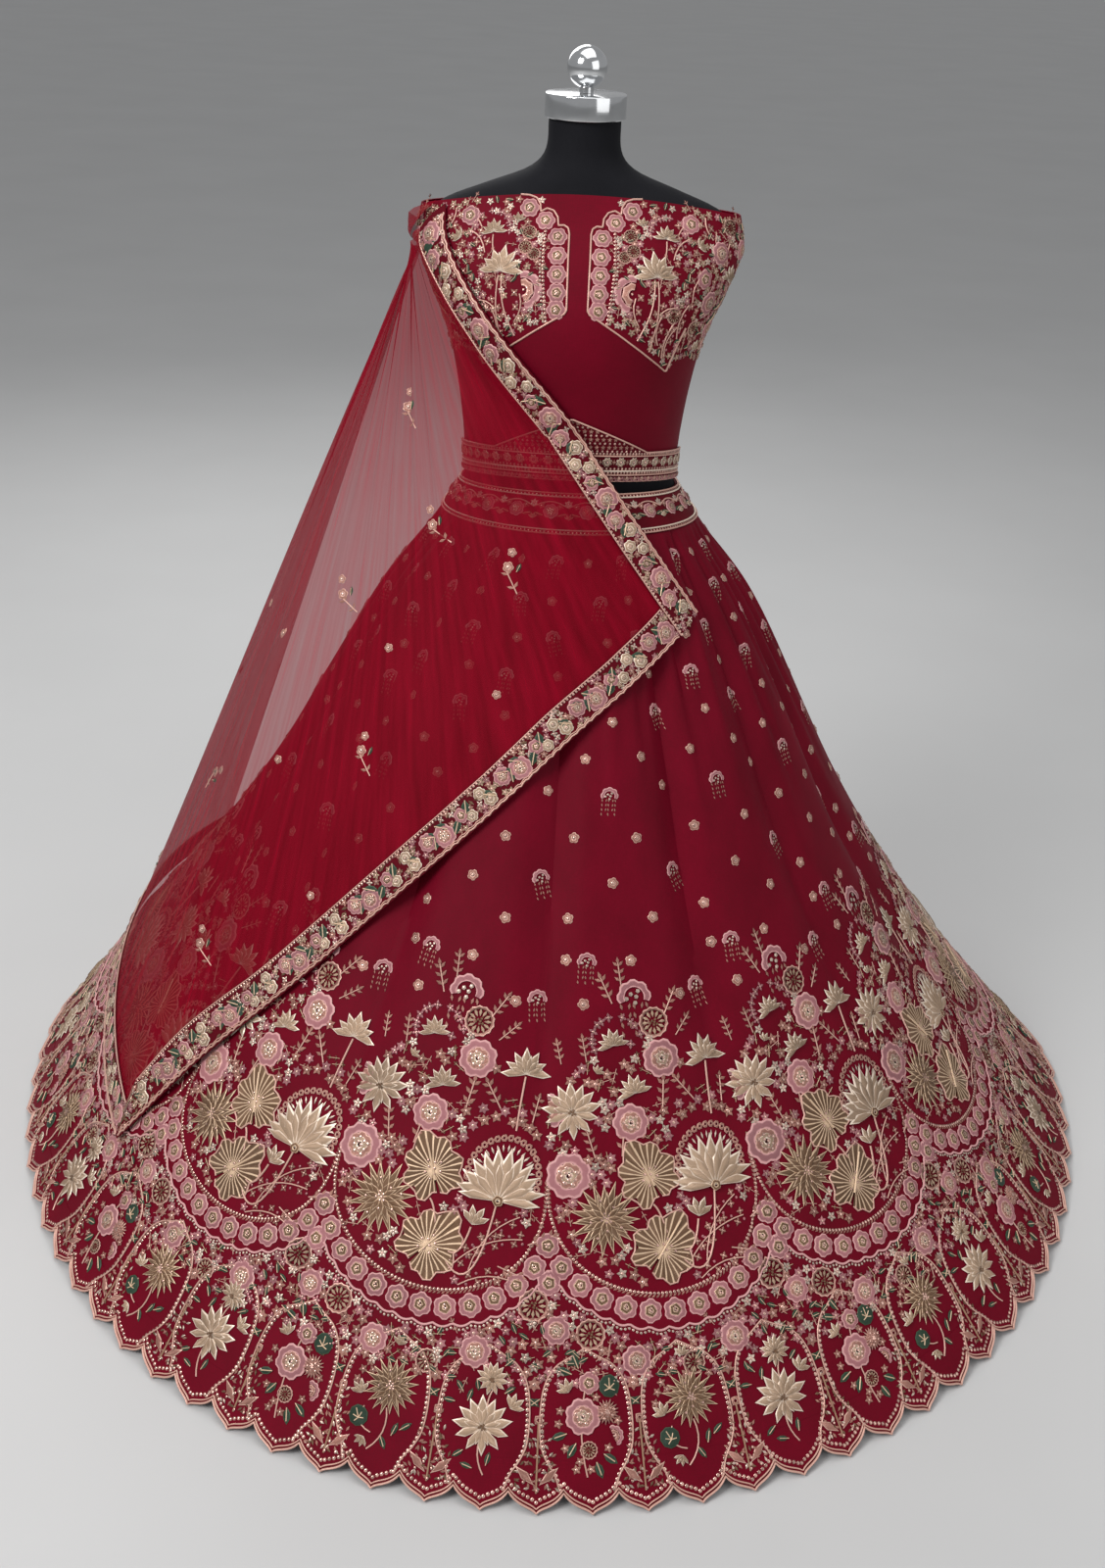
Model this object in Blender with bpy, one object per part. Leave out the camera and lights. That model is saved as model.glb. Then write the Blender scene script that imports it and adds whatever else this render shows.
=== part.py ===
"""Bridal lehenga choli with its dupatta, standing on a limbless dress form.

Metres, +Z up.  The wearer's front faces -Y, and +X is on a viewer's right.
The origin is the centre of the form's base, on the floor.
Angles go round the form from the front centre, positive towards +X.
"""
import math

import bmesh
import bpy
import numpy as np

SEAM_GAP = 0.0003          # between pieces that are sewn or stand on each other
LIFT = 0.0014              # keeps the turned-in hem edge just off the floor
NORMAL_STEP = 0.0015       # in a surface's own coordinates

# Lehenga, the flared skirt
BAND_TOP_SIDE = 0.926      # height of the waistband's top edge at the sides
BAND_TOP_RISE = 0.022      # extra height of that edge at the front centre
KALI_COUNT = 13            # flared panels
KALI_COLUMNS = 8
KALI_ROWS = 9
KALI_WALL = 0.0018
BAND_WALL = 0.0026
BAND_COLUMNS = 52
BAND_REACH = 0.045         # waistband's share of the slant from waist to hem
BAND_FADE = 0.03           # height above the band in which cloth on it comes in to the waist
HEM_START = 0.958          # where the scalloped hem strip begins on the slant
HEM_SCALLOPS = 72
HEM_STRIPS = 12
HEM_COLUMNS = 4            # mesh columns a scallop
HEM_NOTCH = 0.016          # depth of a scallop as a share of the slant
HEM_WALL = 0.0022
SCALLOP_SLOPE = 0.50       # a scallop's edge: the straight rise to the notch,
SCALLOP_LOBE = 0.38        # the round lobe beside the notch
SCALLOP_POINT = 0.12       # and the small point at its tip
FOLD_WIDTH = 0.15          # half width of a fold's trough, in panels
FOLD_SKEW = 0.8            # a fold is deepest above its middle

# Share of the slant, middle, side half width, front depth, back depth
SKIRT_LEVELS = [
    dict(down=0.00, centre=0.000, side=0.139, front=0.126, back=0.106),
    dict(down=0.05, centre=0.002, side=0.170, front=0.166, back=0.128),
    dict(down=0.15, centre=0.002, side=0.240, front=0.226, back=0.166),
    dict(down=0.30, centre=0.002, side=0.320, front=0.318, back=0.215),
    dict(down=0.45, centre=0.000, side=0.396, front=0.408, back=0.262),
    dict(down=0.60, centre=-0.004, side=0.488, front=0.508, back=0.314),
    dict(down=0.75, centre=-0.008, side=0.594, front=0.620, back=0.372),
    dict(down=0.90, centre=0.004, side=0.704, front=0.752, back=0.438),
    dict(down=1.00, centre=0.012, side=0.784, front=0.846, back=0.480),
]

# One soft fold on each seam: its depth and how far down the slant it reaches
SEAM_FOLDS = [
    dict(depth=0.015, reach=0.74),
    dict(depth=0.019, reach=0.82),
    dict(depth=0.013, reach=0.66),
    dict(depth=0.016, reach=0.78),
    dict(depth=0.012, reach=0.70),
    dict(depth=0.017, reach=0.84),
    dict(depth=0.014, reach=0.72),
    dict(depth=0.016, reach=0.76),
    dict(depth=0.013, reach=0.68),
    dict(depth=0.018, reach=0.82),
    dict(depth=0.014, reach=0.70),
    dict(depth=0.017, reach=0.80),
    dict(depth=0.018, reach=0.76),
]

# Choli, the cropped blouse
CHOLI_WALL = 0.0016
CHOLI_COLUMNS = 16
CHOLI_ROWS = 10
CHOLI_LOW_SIDE = 0.934
CHOLI_LOW_RISE = 0.030     # its lower edge is higher at the front centre
CHOLI_TOP_SIDE = 1.262
CHOLI_TOP_RISE = 0.026     # its upper edge is higher at the front centre
TORSO_RADIUS = 0.14        # about, to turn a gap into an angle
CHOLI_LEVELS = [
    dict(height=0.92, side=0.1355, front=0.123, back=0.105),
    dict(height=0.96, side=0.1365, front=0.127, back=0.102),
    dict(height=1.00, side=0.1390, front=0.131, back=0.098),
    dict(height=1.06, side=0.1470, front=0.139, back=0.096),
    dict(height=1.12, side=0.1600, front=0.146, back=0.098),
    dict(height=1.17, side=0.1800, front=0.139, back=0.096),
    dict(height=1.22, side=0.1970, front=0.114, back=0.088),
    dict(height=1.26, side=0.1930, front=0.083, back=0.070),
    dict(height=1.30, side=0.1790, front=0.058, back=0.056),
]

# Raised border round the blouse's lower edge, as shares of the blouse's height
BELT_LOW = 0.006
BELT_TOP = 0.115
BELT_PEAK = 0.135          # its top line rises to a point at the front centre
BELT_PEAK_SPAN = 42.0      # degrees from the centre to the foot of that point
BELT_SIDE_RISE = 0.01
BELT_END = 88.0            # degrees from the centre to its ends
BELT_COLUMNS = 16
BELT_RISE = 0.0009
BELT_WALL = 0.0012

# Dress form
FORM_SEGMENTS = 32
FORM_LEVELS = [
    dict(height=0.780, side=0.118, front=0.088, back=0.080),
    dict(height=0.784, side=0.128, front=0.098, back=0.088),
    dict(height=0.830, side=0.142, front=0.112, back=0.104),
    dict(height=0.880, side=0.141, front=0.119, back=0.106),
    dict(height=0.924, side=0.1366, front=0.1234, back=0.1036),
    dict(height=0.940, side=0.1310, front=0.1190, back=0.0955),
    dict(height=1.000, side=0.1330, front=0.1240, back=0.0890),
    dict(height=1.060, side=0.1420, front=0.1330, back=0.0910),
    dict(height=1.120, side=0.1575, front=0.1435, back=0.0950),
    dict(height=1.170, side=0.1750, front=0.1340, back=0.0915),
    dict(height=1.220, side=0.1900, front=0.1060, back=0.0820),
    dict(height=1.248, side=0.1840, front=0.0790, back=0.0670),
    dict(height=1.268, side=0.1640, front=0.0620, back=0.0560),
    dict(height=1.287, side=0.1160, front=0.0520, back=0.0500),
    dict(height=1.306, side=0.0660, front=0.0470, back=0.0480),
    dict(height=1.326, side=0.0460, front=0.0430, back=0.0440),
    dict(height=1.364, side=0.0425, front=0.0425, back=0.0425),
]
NECK_TOP = 1.364
CAP_RADIUS = 0.048
CAP_HEIGHT = 0.027
BALL_RADIUS = 0.0235
BALL_SINK = 0.93           # how much of the ball's radius stands over its stem
BALL_STEPS = 10
STEM_RADIUS = 0.0085
STEM_FLARE = 1.5           # its foot is wider
STEM_HEIGHT = 0.006
POLE_RADIUS = 0.0125
BASE_RADIUS = 0.150
BASE_HEIGHT = 0.012

# Dupatta, the veil
VEIL_WALL = 0.0010
TRIM_WALL = 0.0012
TRIM_WIDTH = 0.045
VEIL_CLEARANCE = 0.0056    # between the veil's inner side and what it lies on
PIN_CLEARANCE = 0.0018     # where it is pinned to the blouse at the shoulder
PIN_REACH = 0.05
EDGE_LIFT = 0.002          # the veil's edges stand off a little more
TRIM_RISE = VEIL_WALL + SEAM_GAP
VEIL_ROWS = 13             # above the border
END_COLUMNS = 28
SIDE_COLUMNS = 12
GATHER_FOLDS = 6
GATHER_DEPTH = 0.0022
GATHER_START = 0.06        # from the free edge's trim to the full gathers
GATHER_END = 0.85          # share of the fall where the gathers are gone
GATHER_SIDE = (-0.75, -0.45, 0.25)  # the way that the gathers stand out
SAG = (-0.002, -0.030, -0.002)
SAG_REACH = 0.25           # the sag fades out away from the free edge
# Edges of the veil on the skirt: angle in degrees and share of the slant
END_ROUTE = [
    dict(angle=43.0, down=0.135),
    dict(angle=18.0, down=0.205),
    dict(angle=-3.0, down=0.292),
    dict(angle=-27.0, down=0.458),
    dict(angle=-45.0, down=0.664),
    dict(angle=-55.0, down=0.852),
]
SIDE_ROUTE = [
    dict(angle=-55.0, down=0.852),
    dict(angle=-69.0, down=0.814),
    dict(angle=-88.0, down=0.770),
    dict(angle=-104.0, down=0.735),
    dict(angle=-118.0, down=0.720),
]
# The veil's line over the shoulder, from the neck side outwards and back
SHOULDER_LINE = [
    dict(reach=0.000, x=-0.1580, y=-0.0440, z=1.2680),
    dict(reach=0.045, x=-0.1900, y=-0.0320, z=1.2380),
    dict(reach=0.400, x=-0.2020, y=0.0010, z=1.2140),
    dict(reach=1.000, x=-0.1990, y=0.0200, z=1.2060),
    dict(reach=1.700, x=-0.1920, y=0.0370, z=1.2060),
]
# The part that falls down the back: height and the angles of its two edges
FALL_LEVELS = [
    dict(height=1.200, inner=-150.0, outer=-112.0),
    dict(height=1.100, inner=-154.0, outer=-116.0),
    dict(height=0.960, inner=-158.0, outer=-120.0),
    dict(height=0.860, inner=-162.0, outer=-124.0),
    dict(height=0.600, inner=-167.0, outer=-128.0),
    dict(height=0.300, inner=-172.0, outer=-130.0),
    dict(height=0.062, inner=-175.0, outer=-132.0),
]
FALL_COLUMNS = 20
FALL_ROWS = 11
FALL_TURN = 0.10           # share of its length that lies over the shoulder
FALL_TRIM_START = 0.962
FALL_PLEATS = 5
FALL_CLEARANCE = 0.0070
PLEAT_DEPTH = 0.009
PLEAT_GROWTH = 3           # the pleats are full a third of the way down
FALL_SHIFT = (0.0, 0.007, 0.0030)  # lifts its top line off the part in front
FALL_ARCH = 0.006          # it stands off more as it goes over the shoulder
FALL_TURN_ROWS = 8


def row_value(table, key, column, at):
    """Read a column of a table at a value of its key, on a smooth curve."""
    keys = [row[key] for row in table]
    values = [row[column] for row in table]
    last = len(keys) - 1
    at = min(max(at, min(keys[0], keys[last])), max(keys[0], keys[last]))
    span = 0
    while span < last - 1 and at > keys[span + 1]:
        span += 1

    def slope(index):
        low, high = max(index - 1, 0), min(index + 1, last)
        return (values[high] - values[low]) / (keys[high] - keys[low])

    width = keys[span + 1] - keys[span]
    s = (at - keys[span]) / width
    near = (2 * s**3 - 3 * s**2 + 1) * values[span] + (s**3 - 2 * s**2 + s) * width * slope(span)
    far = (3 * s**2 - 2 * s**3) * values[span + 1] + (s**3 - s**2) * width * slope(span + 1)
    return near + far


def oval(level_side, level_front, level_back, angle):
    """Point of an oval whose front and back have depths of their own."""
    depth = level_front if math.cos(angle) > 0 else level_back
    return level_side * math.sin(angle), -depth * math.cos(angle)


def hem_angles():
    """Length of the hem, and the angles that cut it into equal lengths, as a table from 0 to 1."""
    steps = 1440
    side, front, back = (SKIRT_LEVELS[-1][name] for name in ("side", "front", "back"))
    angles = np.linspace(0.0, 2 * math.pi, steps + 1)
    points = np.array([oval(side, front, back, angle) for angle in angles])
    lengths = np.linalg.norm(np.diff(points, axis=0), axis=1)
    travelled = np.concatenate([[0.0], np.cumsum(lengths)])
    return travelled[-1], travelled / travelled[-1], angles


HEM_LENGTH, TURN_TABLE, ANGLE_TABLE = hem_angles()


def turn_to_angle(turn):
    whole = math.floor(turn)
    return float(np.interp(turn - whole, TURN_TABLE, ANGLE_TABLE)) + 2 * math.pi * whole


def smooth_step(value):
    value = min(max(value, 0.0), 1.0)
    return value * value * (3 - 2 * value)


def fold_depth(turn, down):
    """How far the cloth falls in at a seam's fold."""
    position = turn * KALI_COUNT
    seam = round(position)
    fold = SEAM_FOLDS[seam % KALI_COUNT]
    along = (down - BAND_REACH) / (fold["reach"] - BAND_REACH)
    if along <= 0 or along >= 1:
        return 0.0
    across = math.exp(-((position - seam) / FOLD_WIDTH) ** 2)
    return fold["depth"] * across * math.sin(math.pi * along ** FOLD_SKEW)


def band_top(angle):
    return BAND_TOP_SIDE + BAND_TOP_RISE * max(math.cos(angle), 0.0)


def skirt_height(angle, down):
    return band_top(angle) * (1 - down) + LIFT * down


def skirt_sizes(down):
    return [row_value(SKIRT_LEVELS, "down", name, down) for name in ("centre", "side", "front", "back")]


def torso_sizes(height):
    return [row_value(CHOLI_LEVELS, "height", name, height) for name in ("side", "front", "back")]


def skirt_point(turn, down):
    """Outer face of the skirt at a share of its turn and of its slant."""
    angle = turn_to_angle(turn)
    centre, *sizes = skirt_sizes(down)
    x, y = oval(*sizes, angle)
    scale = 1 - fold_depth(turn, down) / math.hypot(x, y)
    return np.array([centre + x * scale, y * scale, skirt_height(angle, down)])


def choli_span(angle):
    """Heights of the blouse's lower and upper edge at an angle."""
    front = max(math.cos(angle), 0.0)
    return CHOLI_LOW_SIDE + CHOLI_LOW_RISE * front, CHOLI_TOP_SIDE + CHOLI_TOP_RISE * front ** 1.5


def torso_point(angle, height):
    x, y = oval(*torso_sizes(height), angle)
    return np.array([x, y, height])


def choli_point(angle, share):
    low, top = choli_span(angle)
    return torso_point(angle, low + (top - low) * share)


def body_oval(angle, height):
    """Centre and sizes of the dressed body at a height; the skirt fades out above its band."""
    top = band_top(angle)
    down = min(max((top - height) / (top - LIFT), 0.0), 1.0)
    centre, *skirt = skirt_sizes(down)
    torso = torso_sizes(height)
    above = smooth_step((height - top) / BAND_FADE)
    wide = [max(bare, worn + (bare - worn) * above) for bare, worn in zip(torso, skirt)]
    return centre, wide


def pushed_out(point, clearance):
    """Move a point out sideways until it clears the blouse and the skirt."""
    x, y, z = point
    angle = math.atan2(x, -y)
    for _ in range(4):
        centre, sizes = body_oval(angle, z)
        depth = sizes[1] if y < 0 else sizes[2]
        angle = math.atan2((x - centre) / sizes[0], -y / depth)
    edge = oval(*sizes, angle)
    wanted = 1 + clearance / math.hypot(*edge)
    share = math.hypot((x - centre) / sizes[0], y / depth)
    scale = max(wanted / share, 1.0)
    return np.array([centre + (x - centre) * scale, y * scale, z])


def body_point(angle, height, clearance):
    """Point beside the dressed body at an angle and a height."""
    centre, sizes = body_oval(angle, height)
    x, y = oval(*sizes, angle)
    scale = 1 + clearance / math.hypot(x, y)
    return np.array([centre + x * scale, y * scale, height])


class Route:
    """A line on the skirt through a table's rows, measured by its length."""

    def __init__(self, rows, clearance, start=0.0):
        steps = 120
        numbered = [dict(row, order=index) for index, row in enumerate(rows)]
        self.points = []
        for index in range(steps + 1):
            order = (len(rows) - 1) * index / steps
            angle = math.radians(row_value(numbered, "order", "angle", order))
            down = row_value(numbered, "order", "down", order)
            height = skirt_height(angle, down)
            self.points.append(body_point(angle, height, clearance))
        self.points = np.array(self.points)
        pieces = np.linalg.norm(np.diff(self.points, axis=0), axis=1)
        self.lengths = start + np.concatenate([[0.0], np.cumsum(pieces)])
        self.start = start
        self.end = float(self.lengths[-1])

    def at(self, length):
        return np.array([np.interp(length, self.lengths, self.points[:, axis]) for axis in range(3)])


VEIL_END = Route(END_ROUTE, VEIL_CLEARANCE + EDGE_LIFT)
VEIL_SIDE = Route(SIDE_ROUTE, VEIL_CLEARANCE + EDGE_LIFT, VEIL_END.end)


def veil_point(reach, fall):
    """Inner face of the veil: reach runs along its lower edges, fall from shoulder to edge."""
    shoulder = np.array([row_value(SHOULDER_LINE, "reach", axis, reach) for axis in "xyz"])
    edge = VEIL_END.at(reach) if reach <= VEIL_END.end else VEIL_SIDE.at(reach)
    point = shoulder * (1 - fall) + edge * fall
    hang = 4 * fall * (1 - fall)
    point = point + np.array(SAG) * hang * math.exp(-reach / SAG_REACH)
    gathered = smooth_step((reach - TRIM_WIDTH) / GATHER_START) * (1 - smooth_step(fall / GATHER_END))
    wave = math.sin(2 * math.pi * GATHER_FOLDS * (reach - TRIM_WIDTH) / (VEIL_SIDE.end - TRIM_WIDTH))
    outward = np.array(GATHER_SIDE) * GATHER_DEPTH * gathered * (1 + wave)
    clearance = PIN_CLEARANCE + (VEIL_CLEARANCE - PIN_CLEARANCE) * smooth_step(fall / PIN_REACH)
    return pushed_out(point + outward, clearance)


def fall_point(across, along):
    """Inner face of the part behind: across from the neck side, along from the shoulder."""
    lower = max(along - FALL_TURN, 0.0) / (1 - FALL_TURN)
    heights = [row["height"] for row in FALL_LEVELS]
    height = heights[0] + (heights[-1] - heights[0]) * lower
    rows = list(reversed(FALL_LEVELS))
    inner = row_value(rows, "height", "inner", height)
    outer = row_value(rows, "height", "outer", height)
    angle = math.radians(inner + (outer - inner) * across)
    pleat = 0.5 + 0.5 * math.sin(2 * math.pi * FALL_PLEATS * across)
    depth = FALL_CLEARANCE + PLEAT_DEPTH * pleat * smooth_step(lower * PLEAT_GROWTH)
    point = body_point(angle, height, depth)
    if along < FALL_TURN:
        reach = across * VEIL_SIDE.end
        shoulder = np.array([row_value(SHOULDER_LINE, "reach", axis, reach) for axis in "xyz"])
        shoulder = shoulder + np.array(FALL_SHIFT)
        share = smooth_step(along / FALL_TURN)
        arch = FALL_ARCH * math.sin(math.pi * share)
        point = pushed_out(shoulder * (1 - share) + point * share, FALL_CLEARANCE + arch)
    return point


def surface_normal(surface, u, v, flip):
    """Unit normal of a surface function, by small differences."""
    step = NORMAL_STEP
    along_u = surface(u + step, v) - surface(u - step, v)
    along_v = surface(u, v + step) - surface(u, v - step)
    normal = np.cross(along_u, along_v)
    normal = normal / np.linalg.norm(normal)
    return -normal if flip else normal


def wall_mesh(outer, inner, closed):
    """Closed shell between two grids of points; a closed one runs all round."""
    rows, columns = len(outer), len(outer[0])
    mesh = bmesh.new()
    outside = [[mesh.verts.new(point) for point in row] for row in outer]
    inside = [[mesh.verts.new(point) for point in row] for row in inner]
    spans = columns if closed else columns - 1
    for row in range(rows - 1):
        for column in range(spans):
            after = (column + 1) % columns
            corners = (row, column), (row, after), (row + 1, after), (row + 1, column)
            for half in (corners[:3], (corners[0], *corners[2:])):
                mesh.faces.new([outside[i][j] for i, j in half])
                mesh.faces.new([inside[i][j] for i, j in reversed(half)])
    for row in (0, rows - 1):
        for column in range(spans):
            after = (column + 1) % columns
            edge = [outside[row][column], inside[row][column], inside[row][after], outside[row][after]]
            mesh.faces.new(edge if row == 0 else edge[::-1])
    if not closed:
        for row in range(rows - 1):
            for column in (0, columns - 1):
                edge = [outside[row][column], outside[row + 1][column],
                        inside[row + 1][column], inside[row][column]]
                mesh.faces.new(edge if column == 0 else edge[::-1])
    bmesh.ops.recalc_face_normals(mesh, faces=mesh.faces)
    return mesh


def add_object(name, mesh, material, sharp=50.0):
    data = bpy.data.meshes.new(name)
    mesh.to_mesh(data)
    mesh.free()
    data.shade_smooth()
    data.set_sharp_from_angle(angle=math.radians(sharp))
    data.materials.append(material)
    thing = bpy.data.objects.new(name, data)
    bpy.context.scene.collection.objects.link(thing)
    return thing


def cloth_piece(name, surface, grid, wall, material, rise=0.0, flip=False, closed=False):
    """Cloth wall on a surface function; grid holds rows of (u, v), rise moves it outwards."""
    outer, inner = [], []
    for line in grid:
        points = [(surface(u, v), surface_normal(surface, u, v, flip)) for u, v in line]
        outer.append([point + normal * (rise + wall) for point, normal in points])
        inner.append([point + normal * rise for point, normal in points])
    return add_object(name, wall_mesh(outer, inner, closed), material)


def finish(name, colour, roughness, metallic=0.0, sheen=0.0):
    material = bpy.data.materials.new(name)
    material.use_nodes = True
    shader = material.node_tree.nodes["Principled BSDF"]
    shader.inputs["Base Color"].default_value = (*colour, 1.0)
    shader.inputs["Roughness"].default_value = roughness
    shader.inputs["Metallic"].default_value = metallic
    shader.inputs["Sheen Weight"].default_value = sheen
    return material


def kali_panels(material):
    """The skirt's flared panels, each between two seams."""
    edge = SEAM_GAP / 2
    downs = np.linspace(BAND_REACH + 0.0003, HEM_START - 0.0003, KALI_ROWS + 1)
    for index in range(KALI_COUNT):
        grid = []
        for down in downs:
            radius = math.hypot(*skirt_point((index + 0.5) / KALI_COUNT, down)[:2])
            inset = edge / (2 * math.pi * radius)
            line = []
            for column in range(KALI_COLUMNS + 1):
                turn = (index + column / KALI_COLUMNS) / KALI_COUNT
                turn += inset * (column == 0) - inset * (column == KALI_COLUMNS)
                line.append((turn, down))
            grid.append(line)
        name = f"lehenga_kali_{index + 1:02d}"
        cloth_piece(name, skirt_point, grid, KALI_WALL, material, -KALI_WALL, flip=True)


def scallop_depth(turn):
    """Share of the slant by which the hem's edge lies above a scallop's tip."""
    place = turn * HEM_SCALLOPS
    off_tip = abs(place - round(place)) * 2
    point = SCALLOP_POINT * (1 - math.exp(-off_tip / SCALLOP_POINT))
    return HEM_NOTCH * (SCALLOP_SLOPE * off_tip + SCALLOP_LOBE * off_tip ** 4 + point)


def hem_strips(material):
    """The stiffened scalloped hem, in strips of a few scallops from notch to notch."""
    in_strip = HEM_SCALLOPS // HEM_STRIPS
    half_scallop = 0.5 / HEM_SCALLOPS
    columns = in_strip * HEM_COLUMNS
    for index in range(HEM_STRIPS):
        grid = []
        for share in (0.0, 1.0):
            line = []
            for column in range(columns + 1):
                turn = (index + column / columns) / HEM_STRIPS - half_scallop
                low = 1.0 - scallop_depth(turn)
                inset = SEAM_GAP / 2 / HEM_LENGTH
                turn += inset * (column == 0) - inset * (column == columns)
                line.append((turn, HEM_START + (low - HEM_START) * share))
            grid.append(line)
        name = f"lehenga_hem_{index + 1:02d}"
        cloth_piece(name, skirt_point, grid, HEM_WALL, material, -KALI_WALL, flip=True)


def waistband(material):
    grid = [[(column / BAND_COLUMNS, down) for column in range(BAND_COLUMNS)]
            for down in (0.0, BAND_REACH)]
    cloth_piece("lehenga_waistband", skirt_point, grid, BAND_WALL, material,
                -KALI_WALL, flip=True, closed=True)


def choli_half(name, first, last, material):
    """Front or back of the blouse, from side seam to side seam."""
    inset = SEAM_GAP / 2 / TORSO_RADIUS
    angles = np.linspace(math.radians(first) + inset, math.radians(last) - inset, CHOLI_COLUMNS + 1)
    grid = [[(angle, share) for angle in angles] for share in np.linspace(0.0, 1.0, CHOLI_ROWS + 1)]
    cloth_piece(name, choli_point, grid, CHOLI_WALL, material, -CHOLI_WALL)


def choli_belt(material):
    """The raised border round the front's lower edge, peaked at the centre."""
    angles = np.radians(np.linspace(-BELT_END, BELT_END, BELT_COLUMNS + 1))

    def height(angle, share):
        peak = max(1 - abs(math.degrees(angle)) / BELT_PEAK_SPAN, 0.0)
        top = BELT_TOP + BELT_PEAK * peak + BELT_SIDE_RISE * abs(math.sin(angle))
        return BELT_LOW + (top - BELT_LOW) * share

    grid = [[(angle, height(angle, share)) for angle in angles] for share in (0.0, 0.5, 1.0)]
    cloth_piece("choli_belt", choli_point, grid, BELT_WALL, material, BELT_RISE)


def dress_form(material):
    """The whole torso, from under the hips to the neck."""
    mesh = bmesh.new()
    rings = []
    angles = [2 * math.pi * step / FORM_SEGMENTS for step in range(FORM_SEGMENTS)]
    for level in FORM_LEVELS:
        ring = []
        for angle in angles:
            x, y = oval(level["side"], level["front"], level["back"], angle)
            ring.append(mesh.verts.new((x, y, level["height"])))
        rings.append(ring)
    for low, high in zip(rings, rings[1:]):
        for step in range(FORM_SEGMENTS):
            after = (step + 1) % FORM_SEGMENTS
            mesh.faces.new((low[step], low[after], high[after], high[step]))
    mesh.faces.new(rings[0][::-1])
    mesh.faces.new(rings[-1])
    bmesh.ops.recalc_face_normals(mesh, faces=mesh.faces)
    add_object("form_torso", mesh, material, sharp=60.0)


def turned_piece(name, profile, material, segments=32):
    """Solid of revolution about Z from (radius, height) rows that begin and end on the axis."""
    mesh = bmesh.new()
    rings = []
    for radius, height in profile:
        if radius == 0:
            rings.append([mesh.verts.new((0.0, 0.0, height))])
            continue
        ring = []
        for step in range(segments):
            angle = 2 * math.pi * step / segments
            ring.append(mesh.verts.new((radius * math.sin(angle), -radius * math.cos(angle), height)))
        rings.append(ring)
    for low, high in zip(rings, rings[1:]):
        for step in range(segments):
            after = (step + 1) % segments
            corners = [low[step % len(low)], low[after % len(low)],
                       high[after % len(high)], high[step % len(high)]]
            mesh.faces.new(list(dict.fromkeys(corners)))
    bmesh.ops.recalc_face_normals(mesh, faces=mesh.faces)
    add_object(name, mesh, material, sharp=35.0)


def form_fittings(chrome, steel):
    """Neck cap, ball finial, pole and base."""
    bevel = 0.0015
    cap_low = NECK_TOP + SEAM_GAP
    cap_top = cap_low + CAP_HEIGHT
    turned_piece("form_neck_cap", [
        (0.0, cap_low), (CAP_RADIUS - bevel, cap_low), (CAP_RADIUS, cap_low + bevel),
        (CAP_RADIUS, cap_top - bevel), (CAP_RADIUS - bevel, cap_top), (0.0, cap_top)], chrome, 40)
    stem_low = cap_top + SEAM_GAP
    stem_top = stem_low + STEM_HEIGHT
    centre = stem_top + BALL_RADIUS * BALL_SINK
    start = math.asin(STEM_RADIUS / BALL_RADIUS)
    ball = []
    for step in range(BALL_STEPS + 1):
        angle = start + (math.pi - start) * step / BALL_STEPS
        radius = 0.0 if step == BALL_STEPS else BALL_RADIUS * math.sin(angle)
        ball.append((radius, centre - BALL_RADIUS * math.cos(angle)))
    turned_piece("form_finial", [(0.0, stem_low), (STEM_RADIUS * STEM_FLARE, stem_low),
                                 (STEM_RADIUS, (stem_low + stem_top) / 2)] + ball, chrome, 28)
    pole_low = BASE_HEIGHT + SEAM_GAP
    pole_top = FORM_LEVELS[0]["height"] - SEAM_GAP
    turned_piece("form_pole", [(0.0, pole_low), (POLE_RADIUS, pole_low),
                               (POLE_RADIUS, pole_top), (0.0, pole_top)], steel, 20)
    turned_piece("form_base", [
        (0.0, 0.0), (BASE_RADIUS, 0.0), (BASE_RADIUS, BASE_HEIGHT - bevel),
        (BASE_RADIUS - bevel, BASE_HEIGHT), (0.0, BASE_HEIGHT)], steel, 48)


def edge_slant(route, reach):
    """Sine of the angle between a veil edge and the cloth's line from the shoulder."""
    step = 0.01
    low, high = max(reach - step, route.start), min(reach + step, route.end)
    along = route.at(high) - route.at(low)
    ray = route.at(reach) - veil_point(reach, 0.5)
    cosine = np.dot(along, ray) / np.linalg.norm(along) / np.linalg.norm(ray)
    return math.sqrt(max(1 - cosine ** 2, 0.05))


def trim_start(route, reach):
    """Share of the fall at which a trim of even width begins above a veil edge."""
    reach = max(reach, TRIM_WIDTH)
    length = np.linalg.norm(route.at(reach) - veil_point(reach, 0.0))
    return 1 - TRIM_WIDTH / edge_slant(route, reach) / length


def veil_column(route, reach):
    """Grid points of the veil from the shoulder to its edge; the last three lie under a trim."""
    start = trim_start(route, reach)
    falls = list(np.linspace(0.0, start, VEIL_ROWS)) + [(1 + start) / 2, 1.0]
    return [(reach, fall) for fall in falls]


def as_rows(columns):
    return [list(row) for row in zip(*columns)]


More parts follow.
